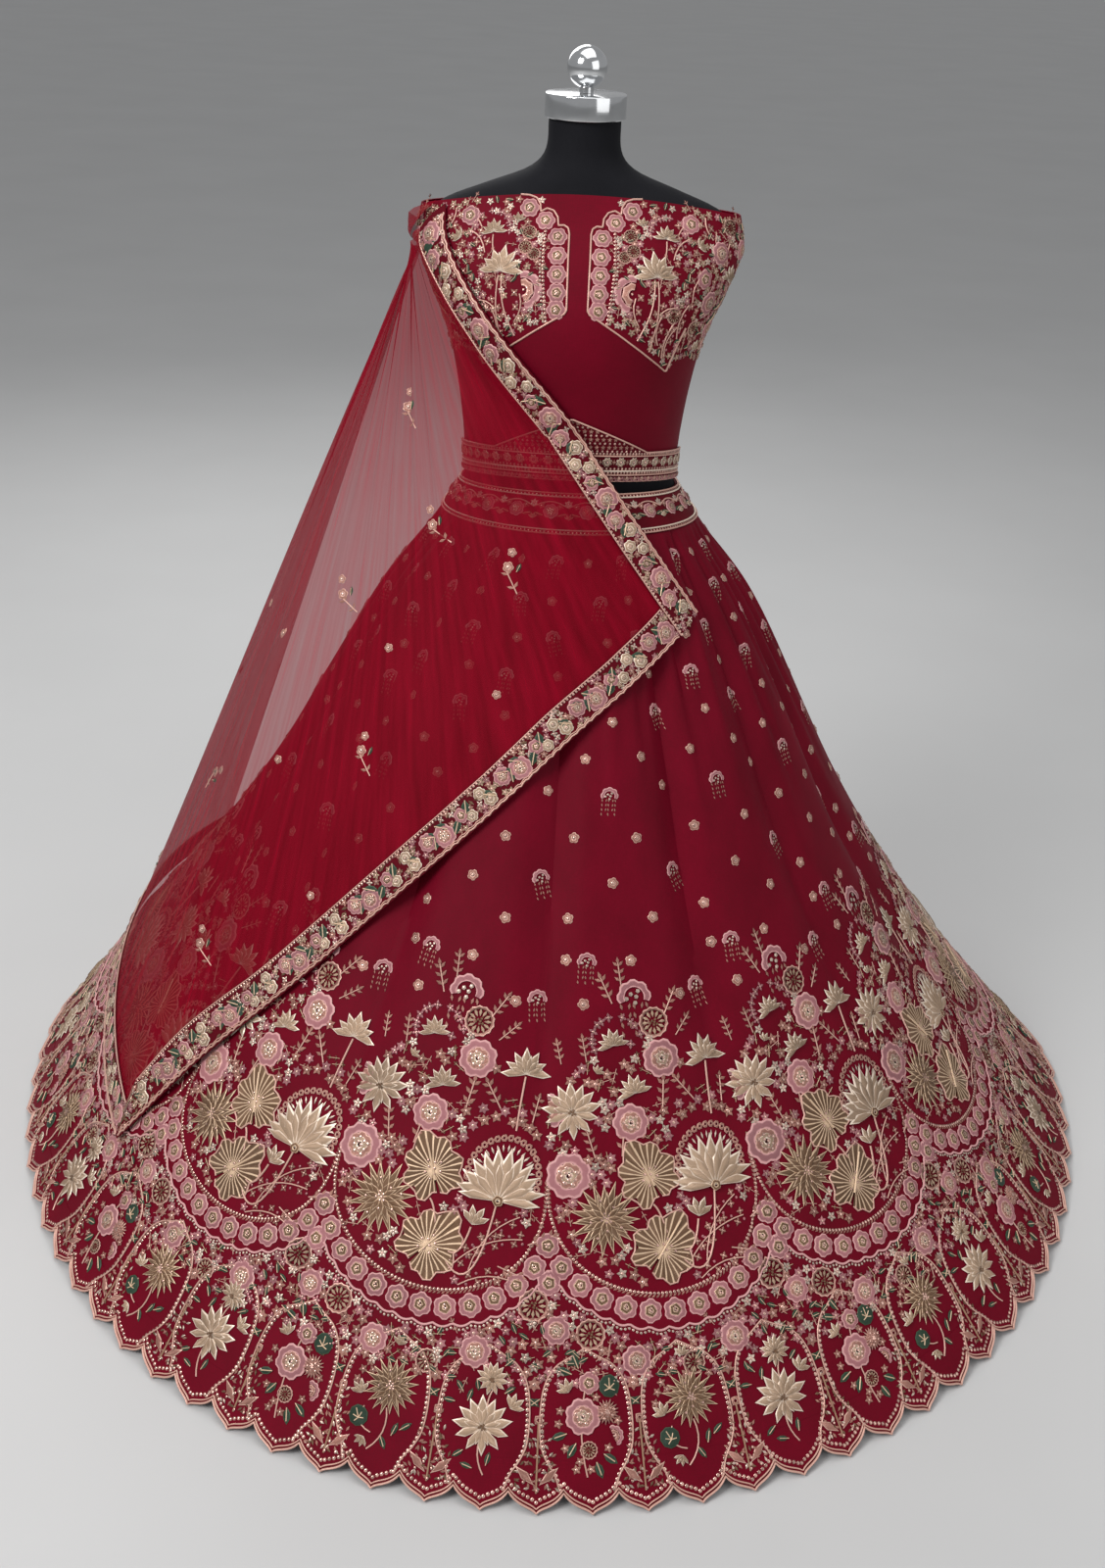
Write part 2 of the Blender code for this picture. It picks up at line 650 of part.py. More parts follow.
def veil(sheer, trim):
    """The part that shows in front: one sheer cloth and its three border strips."""
    shoulder_reaches = [0.0, TRIM_WIDTH / 2, TRIM_WIDTH]
    end_reaches = list(np.linspace(TRIM_WIDTH, VEIL_END.end, END_COLUMNS))
    side_reaches = list(np.linspace(VEIL_END.end, VEIL_SIDE.end, SIDE_COLUMNS))
    shoulder = [veil_column(VEIL_END, reach) for reach in shoulder_reaches]
    end = [veil_column(VEIL_END, reach) for reach in end_reaches]
    side = [veil_column(VEIL_SIDE, reach) for reach in side_reaches]
    cloth_piece("dupatta_front", veil_point, as_rows(shoulder + end[1:] + side[1:]), VEIL_WALL, sheer)

    shoulder[-1] = [(reach - SEAM_GAP, fall) for reach, fall in shoulder[-1]]
    side[0] = [(reach + SEAM_GAP, fall) for reach, fall in side[0]]
    cloth_piece("dupatta_trim_shoulder", veil_point, as_rows(shoulder), TRIM_WALL, trim, TRIM_RISE)
    under_trim = slice(VEIL_ROWS - 1, None)
    for name, columns in (("dupatta_trim_end", end), ("dupatta_trim_side", side)):
        grid = as_rows([column[under_trim] for column in columns])
        cloth_piece(name, veil_point, grid, TRIM_WALL, trim, TRIM_RISE)


def veil_fall(sheer, trim):
    """The rest of the veil, over the shoulder and down the back."""
    acrosses = np.linspace(0.0, 1.0, FALL_COLUMNS + 1)
    alongs = list(np.linspace(0.0, FALL_TURN, FALL_TURN_ROWS + 1)[:-1])
    alongs += list(np.linspace(FALL_TURN, FALL_TRIM_START, FALL_ROWS)) + [(1 + FALL_TRIM_START) / 2, 1.0]
    grid = [[(across, along) for across in acrosses] for along in alongs]
    cloth_piece("dupatta_back", fall_point, grid, VEIL_WALL, sheer, flip=True)
    cloth_piece("dupatta_trim_back", fall_point, grid[-3:], TRIM_WALL, trim, TRIM_RISE, flip=True)


def main():
    for thing in list(bpy.data.objects):
        bpy.data.objects.remove(thing)
    silk = finish("maroon_silk", (0.19, 0.004, 0.018), 0.55, sheen=0.3)
    zari = finish("rose_gold_embroidery", (0.45, 0.22, 0.17), 0.45)
    organza = finish("crimson_organza", (0.24, 0.006, 0.022), 0.5)
    jersey = finish("black_jersey", (0.012, 0.012, 0.014), 0.8)
    chrome = finish("chrome", (0.75, 0.76, 0.78), 0.12, 1.0)
    steel = finish("brushed_steel", (0.5, 0.5, 0.52), 0.35, 1.0)
    dress_form(jersey)
    form_fittings(chrome, steel)
    kali_panels(silk)
    waistband(zari)
    hem_strips(zari)
    choli_half("choli_front", -90.0, 90.0, silk)
    choli_half("choli_back", 90.0, 270.0, silk)
    choli_belt(zari)
    veil(organza, zari)
    veil_fall(organza, zari)


main()
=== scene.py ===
import math

import bpy
import numpy as np
from mathutils import Euler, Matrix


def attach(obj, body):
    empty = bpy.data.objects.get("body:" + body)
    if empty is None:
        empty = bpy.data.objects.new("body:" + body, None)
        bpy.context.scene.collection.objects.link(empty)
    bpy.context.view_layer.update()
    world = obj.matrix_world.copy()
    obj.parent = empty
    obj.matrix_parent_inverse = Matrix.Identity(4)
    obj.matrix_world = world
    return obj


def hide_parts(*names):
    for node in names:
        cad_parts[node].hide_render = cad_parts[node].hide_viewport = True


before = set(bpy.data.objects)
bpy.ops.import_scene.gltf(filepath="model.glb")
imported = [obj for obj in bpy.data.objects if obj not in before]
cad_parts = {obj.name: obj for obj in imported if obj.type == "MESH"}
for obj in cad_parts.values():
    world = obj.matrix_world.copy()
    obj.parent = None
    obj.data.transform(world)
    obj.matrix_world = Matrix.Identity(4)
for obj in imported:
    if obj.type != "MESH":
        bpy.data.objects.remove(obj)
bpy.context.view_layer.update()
print("frame loaded:", len(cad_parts), "nodes")


# Cloth surfaces, the same forms that the solids have, with finer folds

def tableOf(columns, *rows):
    # a table's rows as dictionaries, with the names of the columns written once
    return [dict(zip(columns.split(), row)) for row in rows]


skirtCut = dict(bandTop=0.926, bandRise=0.022, lift=0.0014, panels=13, bandReach=0.045,
                hemStart=0.958, scallops=72, notch=0.016,
                foldWidth=0.15, foldSkew=0.8, wall=0.0018, bandWall=0.0026, hemWall=0.0022,
                creaseGain=1.6, creaseSkew=0.6, gatherDepth=0.0016, gatherFade=0.07, gatherStart=0.02,
                gathers=4.5, groove=0.0024, grooveWidth=0.004, grooveEnd=0.93)
panelCount = skirtCut["panels"]

skirtLevels = tableOf(
    "down centre side front back",
    (0.00, 0.000, 0.139, 0.126, 0.106), (0.05, 0.002, 0.170, 0.166, 0.128),
    (0.15, 0.002, 0.240, 0.226, 0.166), (0.30, 0.002, 0.320, 0.318, 0.215),
    (0.45, 0.000, 0.396, 0.408, 0.262), (0.60, -0.004, 0.488, 0.508, 0.314),
    (0.75, -0.008, 0.594, 0.620, 0.372), (0.90, 0.004, 0.704, 0.752, 0.438),
    (1.00, 0.012, 0.784, 0.846, 0.480))

# One soft fold on each seam
seamFolds = tableOf(
    "depth reach",
    (0.015, 0.74), (0.019, 0.82), (0.013, 0.66), (0.016, 0.78), (0.012, 0.70), (0.017, 0.84),
    (0.014, 0.72), (0.016, 0.76), (0.013, 0.68), (0.018, 0.82), (0.014, 0.70), (0.017, 0.80),
    (0.018, 0.76))

# Smaller creases: where across the panels, how deep and wide, from and to on the slant
creases = tableOf(
    "at depth width start end",
    (0.22, 0.0040, 0.050, 0.05, 0.30), (0.47, -0.0035, 0.070, 0.05, 0.42),
    (0.78, 0.0052, 0.055, 0.05, 0.36), (1.30, 0.0046, 0.060, 0.05, 0.44),
    (1.62, -0.0040, 0.080, 0.05, 0.38), (1.83, 0.0036, 0.045, 0.05, 0.26),
    (2.36, 0.0050, 0.060, 0.05, 0.40), (2.72, 0.0042, 0.055, 0.05, 0.31),
    (3.28, 0.0056, 0.065, 0.05, 0.46), (3.57, -0.0038, 0.060, 0.05, 0.34),
    (4.31, 0.0048, 0.060, 0.05, 0.42), (4.69, 0.0036, 0.050, 0.05, 0.28),
    (5.25, 0.0050, 0.055, 0.05, 0.38), (5.66, 0.0040, 0.065, 0.05, 0.44),
    (6.34, 0.0054, 0.060, 0.05, 0.41), (6.71, -0.0036, 0.055, 0.05, 0.30),
    (7.29, 0.0046, 0.060, 0.05, 0.45), (7.64, 0.0042, 0.050, 0.05, 0.33),
    (8.33, 0.0052, 0.065, 0.05, 0.39), (8.70, -0.0040, 0.060, 0.05, 0.35),
    (9.27, 0.0048, 0.055, 0.05, 0.43), (9.68, 0.0038, 0.050, 0.05, 0.29),
    (10.35, 0.0050, 0.060, 0.05, 0.40), (10.72, 0.0042, 0.055, 0.05, 0.34),
    (11.24, 0.0040, 0.050, 0.05, 0.31), (11.55, -0.0042, 0.075, 0.05, 0.43),
    (11.81, 0.0054, 0.055, 0.05, 0.37), (12.28, 0.0046, 0.055, 0.05, 0.39),
    (12.60, 0.0034, 0.060, 0.05, 0.28))

blouseCut = dict(lowSide=0.934, lowRise=0.030, topSide=1.262, topRise=0.026, wall=0.0016)

blouseLevels = tableOf(
    "height side front back",
    (0.92, 0.1355, 0.123, 0.105), (0.96, 0.1365, 0.127, 0.102), (1.00, 0.1390, 0.131, 0.098),
    (1.06, 0.1470, 0.139, 0.096), (1.12, 0.1600, 0.146, 0.098), (1.17, 0.1800, 0.139, 0.096),
    (1.22, 0.1970, 0.114, 0.088), (1.26, 0.1930, 0.083, 0.070), (1.30, 0.1790, 0.058, 0.056))

veilCut = dict(clearance=0.0056, pinClearance=0.0018, pinReach=0.05, edgeLift=0.002, bandFade=0.03,
               trimWidth=0.045, gathers=6, gatherDepth=0.0022, gatherStart=0.06, gatherEnd=0.85,
               gatherSide=(-0.75, -0.45, 0.25), sag=(-0.002, -0.030, -0.002), sagReach=0.25,
               fallClearance=0.0070, fallTurn=0.10, fallArch=0.006, fallTrim=0.962, pleats=5,
               pleatDepth=0.009, pleatGrowth=3, fallShift=(0.0, 0.007, 0.0030), trimRise=0.0025,
               trimWall=0.0012, clothRise=0.0010)

endRoute = tableOf(
    "angle down",
    (43.0, 0.135), (18.0, 0.205), (-3.0, 0.292), (-27.0, 0.458), (-45.0, 0.664), (-55.0, 0.852))
sideRoute = tableOf(
    "angle down",
    (-55.0, 0.852), (-69.0, 0.814), (-88.0, 0.770), (-104.0, 0.735), (-118.0, 0.720))
shoulderLine = tableOf(
    "reach x y z",
    (0.000, -0.1580, -0.0440, 1.2680), (0.045, -0.1900, -0.0320, 1.2380),
    (0.400, -0.2020, 0.0010, 1.2140), (1.000, -0.1990, 0.0200, 1.2060),
    (1.700, -0.1920, 0.0370, 1.2060))
fallLevels = tableOf(
    "height inner outer",
    (0.062, -175.0, -132.0), (0.300, -172.0, -130.0), (0.600, -167.0, -128.0), (0.860, -162.0, -124.0),
    (0.960, -158.0, -120.0), (1.100, -154.0, -116.0), (1.200, -150.0, -112.0))


tablesRead = {}


def tableColumns(rows, key, column):
    # keys, values and slopes of a table's column, worked out once
    name = (id(rows), key, column)
    if name not in tablesRead:
        keys = np.array([row[key] for row in rows])
        values = np.array([row[column] for row in rows])
        slopes = np.gradient(values, keys)
        slopes[1:-1] = (values[2:] - values[:-2]) / (keys[2:] - keys[:-2])
        tablesRead[name] = keys, values, slopes, rows
    return tablesRead[name][:3]


def readTable(rows, key, column, at):
    # a smooth curve through the rows of a table
    keys, values, slopes = tableColumns(rows, key, column)
    at = np.minimum(np.maximum(at, keys[0]), keys[-1])
    span = np.minimum(np.maximum(np.searchsorted(keys, at) - 1, 0), len(keys) - 2)
    width = keys[span + 1] - keys[span]
    s = (at - keys[span]) / width
    near = (2 * s**3 - 3 * s**2 + 1) * values[span] + (s**3 - 2 * s**2 + s) * width * slopes[span]
    far = (3 * s**2 - 2 * s**3) * values[span + 1] + (s**3 - s**2) * width * slopes[span + 1]
    return near + far


def softStep(value):
    value = np.clip(value, 0.0, 1.0)
    return value * value * (3 - 2 * value)


def ovalPoint(side, front, back, angle):
    depth = np.where(np.cos(angle) > 0, front, back)
    return side * np.sin(angle), -depth * np.cos(angle)


def hemTable():
    # angles that cut the hem into equal lengths
    last = skirtLevels[-1]
    angles = np.linspace(0.0, 2 * math.pi, 1441)
    x, y = ovalPoint(last["side"], last["front"], last["back"], angles)
    travelled = np.concatenate([[0.0], np.cumsum(np.hypot(np.diff(x), np.diff(y)))])
    return travelled / travelled[-1], angles


hemTurns, hemAngles = hemTable()


def turnToAngle(turn):
    whole = np.floor(turn)
    return np.interp(turn - whole, hemTurns, hemAngles) + 2 * math.pi * whole


def foldIn(turn, down):
    # how far the cloth falls in at the soft folds on the seams
    place = turn * panelCount
    seam = np.round(place).astype(int)
    depth = np.array([fold["depth"] for fold in seamFolds])[seam % panelCount]
    reach = np.array([fold["reach"] for fold in seamFolds])[seam % panelCount]
    along = np.clip((down - skirtCut["bandReach"]) / (reach - skirtCut["bandReach"]), 0.0, 1.0)
    inward = depth * np.exp(-((place - seam) / skirtCut["foldWidth"]) ** 2)
    return inward * np.sin(math.pi * along ** skirtCut["foldSkew"])


def fineFolds(turn, down):
    # the creases, the gathers under the waistband, and a groove along each seam
    place = turn * panelCount
    inward = np.zeros_like(place)
    for crease in creases:
        off = (place - crease["at"] + panelCount / 2) % panelCount - panelCount / 2
        along = np.clip((down - crease["start"]) / (crease["end"] - crease["start"]), 0.0, 1.0)
        dent = skirtCut["creaseGain"] * crease["depth"] * np.exp(-(off / crease["width"]) ** 2)
        inward += dent * np.sin(math.pi * along ** skirtCut["creaseSkew"])
    below = down - skirtCut["bandReach"]
    fade = np.exp(-(below / skirtCut["gatherFade"]) ** 2)
    uneven = 1.7 * np.sin(2 * math.pi * place * 0.61)
    ripple = np.sin(2 * math.pi * place * skirtCut["gathers"] + uneven)
    inward += skirtCut["gatherDepth"] * (1 + ripple) * fade * softStep(below / skirtCut["gatherStart"])
    seamOff = np.abs(place - np.round(place)) * 0.34 * (0.3 + down)
    groove = skirtCut["groove"] * np.exp(-(seamOff / skirtCut["grooveWidth"]) ** 2)
    inward += groove * softStep((skirtCut["grooveEnd"] - down) / 0.06)
    return inward


def skirtForm(turn, down, fine=True):
    angle = turnToAngle(turn)
    centre, side, front, back = (readTable(skirtLevels, "down", name, down)
                                 for name in ("centre", "side", "front", "back"))
    x, y = ovalPoint(side, front, back, angle)
    inward = foldIn(turn, down) + (fineFolds(turn, down) if fine else 0.0)
    scale = 1 - inward / np.hypot(x, y)
    top = skirtCut["bandTop"] + skirtCut["bandRise"] * np.maximum(np.cos(angle), 0.0)
    height = top * (1 - down) + skirtCut["lift"] * down
    return np.stack([centre + x * scale, y * scale, height], -1)


def blouseSizes(height):
    return [readTable(blouseLevels, "height", name, height) for name in ("side", "front", "back")]


def blouseForm(angle, share):
    front = np.maximum(np.cos(angle), 0.0)
    low = blouseCut["lowSide"] + blouseCut["lowRise"] * front
    top = blouseCut["topSide"] + blouseCut["topRise"] * front ** 1.5
    height = low + (top - low) * share
    x, y = ovalPoint(*blouseSizes(height), angle)
    return np.stack([x, y, height], -1)


def bodyOval(angle, height):
    top = skirtCut["bandTop"] + skirtCut["bandRise"] * np.maximum(np.cos(angle), 0.0)
    down = np.clip((top - height) / (top - skirtCut["lift"]), 0.0, 1.0)
    centre = readTable(skirtLevels, "down", "centre", down)
    skirt = [readTable(skirtLevels, "down", name, down) for name in ("side", "front", "back")]
    above = softStep((height - top) / veilCut["bandFade"])
    pairs = zip(blouseSizes(height), skirt)
    return centre, [np.maximum(bare, worn + (bare - worn) * above) for bare, worn in pairs]


def bodyPoint(angle, height, clearance):
    centre, sizes = bodyOval(angle, height)
    x, y = ovalPoint(*sizes, angle)
    scale = 1 + clearance / np.hypot(x, y)
    return np.stack([centre + x * scale, y * scale, height], -1)


def pushedOut(point, clearance):
    x, y, z = point[..., 0], point[..., 1], point[..., 2]
    angle = np.arctan2(x, -y)
    for _ in range(4):
        centre, sizes = bodyOval(angle, z)
        depth = np.where(y < 0, sizes[1], sizes[2])
        angle = np.arctan2((x - centre) / sizes[0], -y / depth)
    edge = ovalPoint(*sizes, angle)
    wanted = 1 + clearance / np.hypot(*edge)
    share = np.hypot((x - centre) / sizes[0], y / depth)
    scale = np.maximum(wanted / share, 1.0)
    return np.stack([centre + (x - centre) * scale, y * scale, z], -1)


def routePoints(rows, clearance, start=0.0):
    # points along an edge of the veil on the skirt, with the length travelled
    numbered = [dict(row, order=float(index)) for index, row in enumerate(rows)]
    order = np.linspace(0.0, len(rows) - 1.0, 121)
    angle = np.radians(readTable(numbered, "order", "angle", order))
    down = readTable(numbered, "order", "down", order)
    top = skirtCut["bandTop"] + skirtCut["bandRise"] * np.maximum(np.cos(angle), 0.0)
    points = bodyPoint(angle, top * (1 - down) + skirtCut["lift"] * down, clearance)
    steps = np.linalg.norm(np.diff(points, axis=0), axis=1)
    return start + np.concatenate([[0.0], np.cumsum(steps)]), points


edgeClearance = veilCut["clearance"] + veilCut["edgeLift"]
endLengths, endPoints = routePoints(endRoute, edgeClearance)
sideLengths, sidePoints = routePoints(sideRoute, edgeClearance, endLengths[-1])
edgeLengths = np.concatenate([endLengths, sideLengths[1:]])
edgePoints = np.concatenate([endPoints, sidePoints[1:]])
veilCorner, veilReach = endLengths[-1], sideLengths[-1]


def edgePoint(reach):
    return np.stack([np.interp(reach, edgeLengths, edgePoints[:, axis]) for axis in range(3)], -1)


def shoulderPoint(reach):
    return np.stack([readTable(shoulderLine, "reach", axis, reach) for axis in "xyz"], -1)


def veilForm(reach, fall):
    reach, fall = np.broadcast_arrays(np.asarray(reach, float), np.asarray(fall, float))
    f = fall[..., None]
    point = shoulderPoint(reach) * (1 - f) + edgePoint(reach) * f
    hang = (4 * fall * (1 - fall) * np.exp(-reach / veilCut["sagReach"]))[..., None]
    point = point + np.array(veilCut["sag"]) * hang
    gathered = softStep((reach - veilCut["trimWidth"]) / veilCut["gatherStart"])
    gathered = gathered * (1 - softStep(fall / veilCut["gatherEnd"]))
    turns = veilCut["gathers"] * (reach - veilCut["trimWidth"]) / (veilReach - veilCut["trimWidth"])
    wave = np.sin(2 * math.pi * turns)
    stand = veilCut["gatherDepth"] * gathered * (1 + wave) + veilCreases(reach, fall)
    point = point + np.array(veilCut["gatherSide"]) * stand[..., None]
    pin = softStep(fall / veilCut["pinReach"])
    beyond = veilCut["clearance"] - veilCut["pinClearance"]
    return pushedOut(point, veilCut["pinClearance"] + beyond * pin)


# Ridges that run from the pinned shoulder over the veil
veilFolds = tableOf(
    "at height width start end",
    (0.130, 0.0040, 0.018, 0.02, 0.55), (0.215, 0.0062, 0.022, 0.02, 0.80),
    (0.300, 0.0050, 0.020, 0.02, 0.62), (0.372, 0.0078, 0.026, 0.02, 0.90),
    (0.465, 0.0056, 0.024, 0.02, 0.66), (0.560, 0.0066, 0.030, 0.02, 0.84),
    (0.668, 0.0044, 0.028, 0.02, 0.58), (0.790, 0.0070, 0.034, 0.02, 0.86),
    (0.905, 0.0050, 0.030, 0.02, 0.64), (1.060, 0.0064, 0.036, 0.02, 0.80),
    (1.210, 0.0052, 0.034, 0.02, 0.70), (1.370, 0.0066, 0.038, 0.02, 0.82),
    (1.530, 0.0048, 0.034, 0.02, 0.60))


def veilCreases(reach, fall):
    stand = np.zeros_like(reach)
    for fold in veilFolds:
        along = np.clip((fall - fold["start"]) / (fold["end"] - fold["start"]), 0.0, 1.0)
        spread = fold["width"] * (0.9 + 0.8 * fall)
        ridge = np.exp(-((reach - fold["at"]) / spread) ** 2)
        stand += fold["height"] * ridge * np.sin(math.pi * along ** 0.55)
    return stand


def fallForm(across, along):
    across, along = np.broadcast_arrays(np.asarray(across, float), np.asarray(along, float))
    turn = veilCut["fallTurn"]
    lower = np.maximum(along - turn, 0.0) / (1 - turn)
    top, bottom = fallLevels[-1]["height"], fallLevels[0]["height"]
    height = top + (bottom - top) * lower
    inner = readTable(fallLevels, "height", "inner", height)
    outer = readTable(fallLevels, "height", "outer", height)
    angle = np.radians(inner + (outer - inner) * across)
    pleat = 0.5 + 0.5 * np.sin(2 * math.pi * veilCut["pleats"] * across)
    pleat = veilCut["pleatDepth"] * pleat * softStep(lower * veilCut["pleatGrowth"])
    point = bodyPoint(angle, height, veilCut["fallClearance"] + pleat)
    shoulder = shoulderPoint(across * veilReach) + np.array(veilCut["fallShift"])
    share = softStep(along / turn)[..., None]
    arch = veilCut["fallArch"] * np.sin(math.pi * share[..., 0])
    pinned = pushedOut(shoulder * (1 - share) + point * share, veilCut["fallClearance"] + arch)
    return np.where((along < turn)[..., None], pinned, point)


class Cloth:
    # a surface with its outer side, and the way from flat metres to its own coordinates
    def __init__(self, form, side=1):
        self.form, self.side, self.step = form, side, 0.0015

    def slopes(self, u, v):
        e = self.step
        alongU = (self.form(u + e, v) - self.form(u - e, v)) / (2 * e)
        alongV = (self.form(u, v + e) - self.form(u, v - e)) / (2 * e)
        return alongU, alongV

    def normal(self, u, v):
        alongU, alongV = self.slopes(u, v)
        normal = np.cross(alongU, alongV) * self.side
        return normal / np.linalg.norm(normal, axis=-1, keepdims=True)

    def lifted(self, u, v, height):
        return self.form(u, v) + self.normal(u, v) * np.asarray(height, float)[..., None]

    def flatSteps(self, u, v):
        # what one metre to the right and one metre up the flat cloth add to u and v
        alongU, alongV = self.slopes(u, v)
        lengthU = np.linalg.norm(alongU, axis=-1)
        right = alongU / lengthU[..., None]
        up = np.cross(self.normal(u, v), right)
        vUp = 1 / np.sum(alongV * up, axis=-1)
        uUp = -np.sum(alongV * right, axis=-1) * vUp / lengthU
        return 1 / lengthU, uUp, vUp


skirtCloth = Cloth(skirtForm, side=-1)
waistCloth = Cloth(lambda u, v: skirtForm(u, v, False), side=-1)
blouseCloth = Cloth(blouseForm)
veilCloth = Cloth(veilForm)
fallCloth = Cloth(fallForm, side=-1)


# Materials

def srgb(red, green, blue):
    # linear colour from the usual 0 to 255
    shares = [c / 255 for c in (red, green, blue)]
    return tuple(s / 12.92 if s < 0.04045 else ((s + 0.055) / 1.055) ** 2.4 for s in shares)


class Look:
    # a socket of a material, so that shader maths reads as Python
    def __init__(self, tree, socket=None):
        self.tree, self.socket = tree, socket

    def make(self, kind, settings=None, values=None, output=0):
        node = self.tree.nodes.new(kind)
        for name, value in (settings or {}).items():
            if name == "stops":
                for stop, (place, colour) in zip(node.color_ramp.elements, value):
                    stop.position, stop.color = place, (*colour, 1.0)
            else:
                setattr(node, name, value)
        for key, value in (values or {}).items():
            if isinstance(value, Look):
                self.tree.links.new(value.socket, node.inputs[key])
            else:
                node.inputs[key].default_value = value
        return Look(self.tree, node.outputs[output])

    def maths(self, operation, first, second):
        return self.make("ShaderNodeMath", dict(operation=operation), {0: first, 1: second})

    def __add__(self, other):
        return self.maths("ADD", self, other)

    def __sub__(self, other):
        return self.maths("SUBTRACT", self, other)

    def __rsub__(self, other):
        return self.maths("SUBTRACT", other, self)

    def __mul__(self, other):
        return self.maths("MULTIPLY", self, other)

    __radd__, __rmul__ = __add__, __mul__

    def clipped(self, low, high):
        # 0 below low, 1 above high
        return self.make("ShaderNodeMapRange", None, {0: self, 1: low, 2: high})

    def blend(self, dark, light):
        # dark where this value is 0, light where it is 1
        dark = dark if isinstance(dark, Look) else (*dark, 1.0)
        light = light if isinstance(light, Look) else (*light, 1.0)
        return self.make("ShaderNodeMix", dict(data_type="RGBA"), {0: self, 6: dark, 7: light}, output=2)

    def noise(self, where, scale, detail):
        return self.make("ShaderNodeTexNoise", None,
                         dict(Vector=where, Scale=scale, Detail=detail, Roughness=0.55))

    def bump(self, height, strength, distance):
        return self.make("ShaderNodeBump", None, dict(Height=height, Strength=strength, Distance=distance))


def newFinish(name):
    material = bpy.data.materials.new(name)
    material.use_nodes = True
    shader = material.node_tree.nodes["Principled BSDF"]
    return material, shader, Look(material.node_tree)


def setShader(shader, values):
    for name, value in values.items():
        if isinstance(value, Look):
            value.tree.links.new(value.socket, shader.inputs[name])
        else:
            shader.inputs[name].default_value = value


def silkFinish(name, dark, light):
    # raw silk: a fine uneven weave with slubs and a soft sheen
    material, shader, look = newFinish(name)
    place = look.make("ShaderNodeUVMap", dict(uv_map="cloth"))
    stretched = look.make("ShaderNodeMapping", None, dict(Vector=place, Scale=(900.0, 90.0, 1.0)))
    across = look.make("ShaderNodeMapping", None, dict(Vector=place, Scale=(80.0, 1000.0, 1.0)))
    warp = look.noise(stretched, 1.0, 2.0)
    weft = look.noise(across, 1.0, 2.0)
    patches = look.noise(place, 9.0, 4.0)
    weave = (warp + weft) * 0.5
    shade = (weave * 0.55 + patches * 0.6 - 0.08).clipped(0.15, 0.95)
    setShader(shader, {
        "Base Color": shade.blend(dark, light),
        "Roughness": 0.50 + 0.25 * weave,
        "Normal": look.bump(weave, 0.35, 0.0006),
        "Specular IOR Level": 0.10,
    })
    return material


def threadFinish(name, body, edge, shine=0.30, metal=0.35):
    # couched metal thread: satin stitches inside a corded rim
    material, shader, look = newFinish(name)
    place = look.make("ShaderNodeUVMap", dict(uv_map="cloth"))
    rim = look.make("ShaderNodeAttribute", dict(attribute_name="rim"), output=2)
    tone = look.make("ShaderNodeAttribute", dict(attribute_name="tone"), output=2)
    wave = look.make("ShaderNodeTexWave", dict(wave_type="BANDS", bands_direction="Y"),
                     dict(Vector=place, Scale=330.0, Distortion=1.2, Detail=1.0))
    grain = look.noise(place, 700.0, 2.0)
    corded = rim.clipped(0.62, 0.80)
    stitch = wave * (1 - corded) * 0.6 + grain * 0.4
    lit = (tone * 0.45 + grain * 0.35 + stitch * 0.25).clipped(0.12, 0.92)
    dull = tuple(c * 0.50 for c in body)
    base = corded.blend(lit.blend(dull, body), edge)
    setShader(shader, {
        "Base Color": base,
        "Roughness": shine + 0.22 * grain,
        "Metallic": metal,
        "Normal": look.bump(stitch + corded * 0.8, 0.55, 0.0007),
    })
    return material


def beadFinish(name, colour, shine=0.16, metal=0.75):
    material, shader, look = newFinish(name)
    tone = look.make("ShaderNodeAttribute", dict(attribute_name="tone"), output=2)
    place = look.make("ShaderNodeUVMap", dict(uv_map="cloth"))
    grain = look.noise(place, 420.0, 1.0)
    lit = (tone * 0.7 + grain * 0.4).clipped(0.1, 0.95)
    setShader(shader, {
        "Base Color": lit.blend(tuple(c * 0.45 for c in colour), colour),
        "Roughness": shine + 0.15 * grain,
        "Metallic": metal,
        "Normal": look.bump(grain, 0.2, 0.0004),
    })
    return material


def organzaFinish(name, thin, thick):
    # sheer silk organza: a crisp open weave, denser in streaks
    material, shader, look = newFinish(name)
    place = look.make("ShaderNodeUVMap", dict(uv_map="cloth"))
    stretched = look.make("ShaderNodeMapping", None, dict(Vector=place, Scale=(60.0, 5.0, 1.0)))
    streak = look.noise(stretched, 1.0, 3.0)
    weave = look.noise(place, 1200.0, 1.0)
    setShader(shader, {
        "Base Color": (streak * 0.8 + weave * 0.2).clipped(0.25, 0.75).blend(thick, thin),
        "Roughness": 0.55 + 0.2 * weave,
        "Normal": look.bump(streak * 0.7 + weave * 0.3, 0.3, 0.0012),
        "Alpha": (0.58 + 0.28 * streak).clipped(0.0, 1.0),
        "Specular IOR Level": 0.08,
    })
    return material


def jerseyFinish(name):
    material, shader, look = newFinish(name)
    place = look.make("ShaderNodeTexCoord", output=3)
    knit = look.make("ShaderNodeMapping", None, dict(Vector=place, Scale=(1500.0, 1500.0, 900.0)))
    loops = look.noise(knit, 1.0, 1.0)
    cloudy = look.noise(place, 16.0, 3.0)
    shade = (loops * 0.5 + cloudy * 0.5).clipped(0.25, 0.85)
    setShader(shader, {
        "Base Color": shade.blend((0.004, 0.004, 0.006), (0.014, 0.014, 0.017)),
        "Roughness": 0.72 + 0.15 * loops,
        "Normal": look.bump(loops, 0.25, 0.0004),
        "Specular IOR Level": 0.15,
    })
    return material


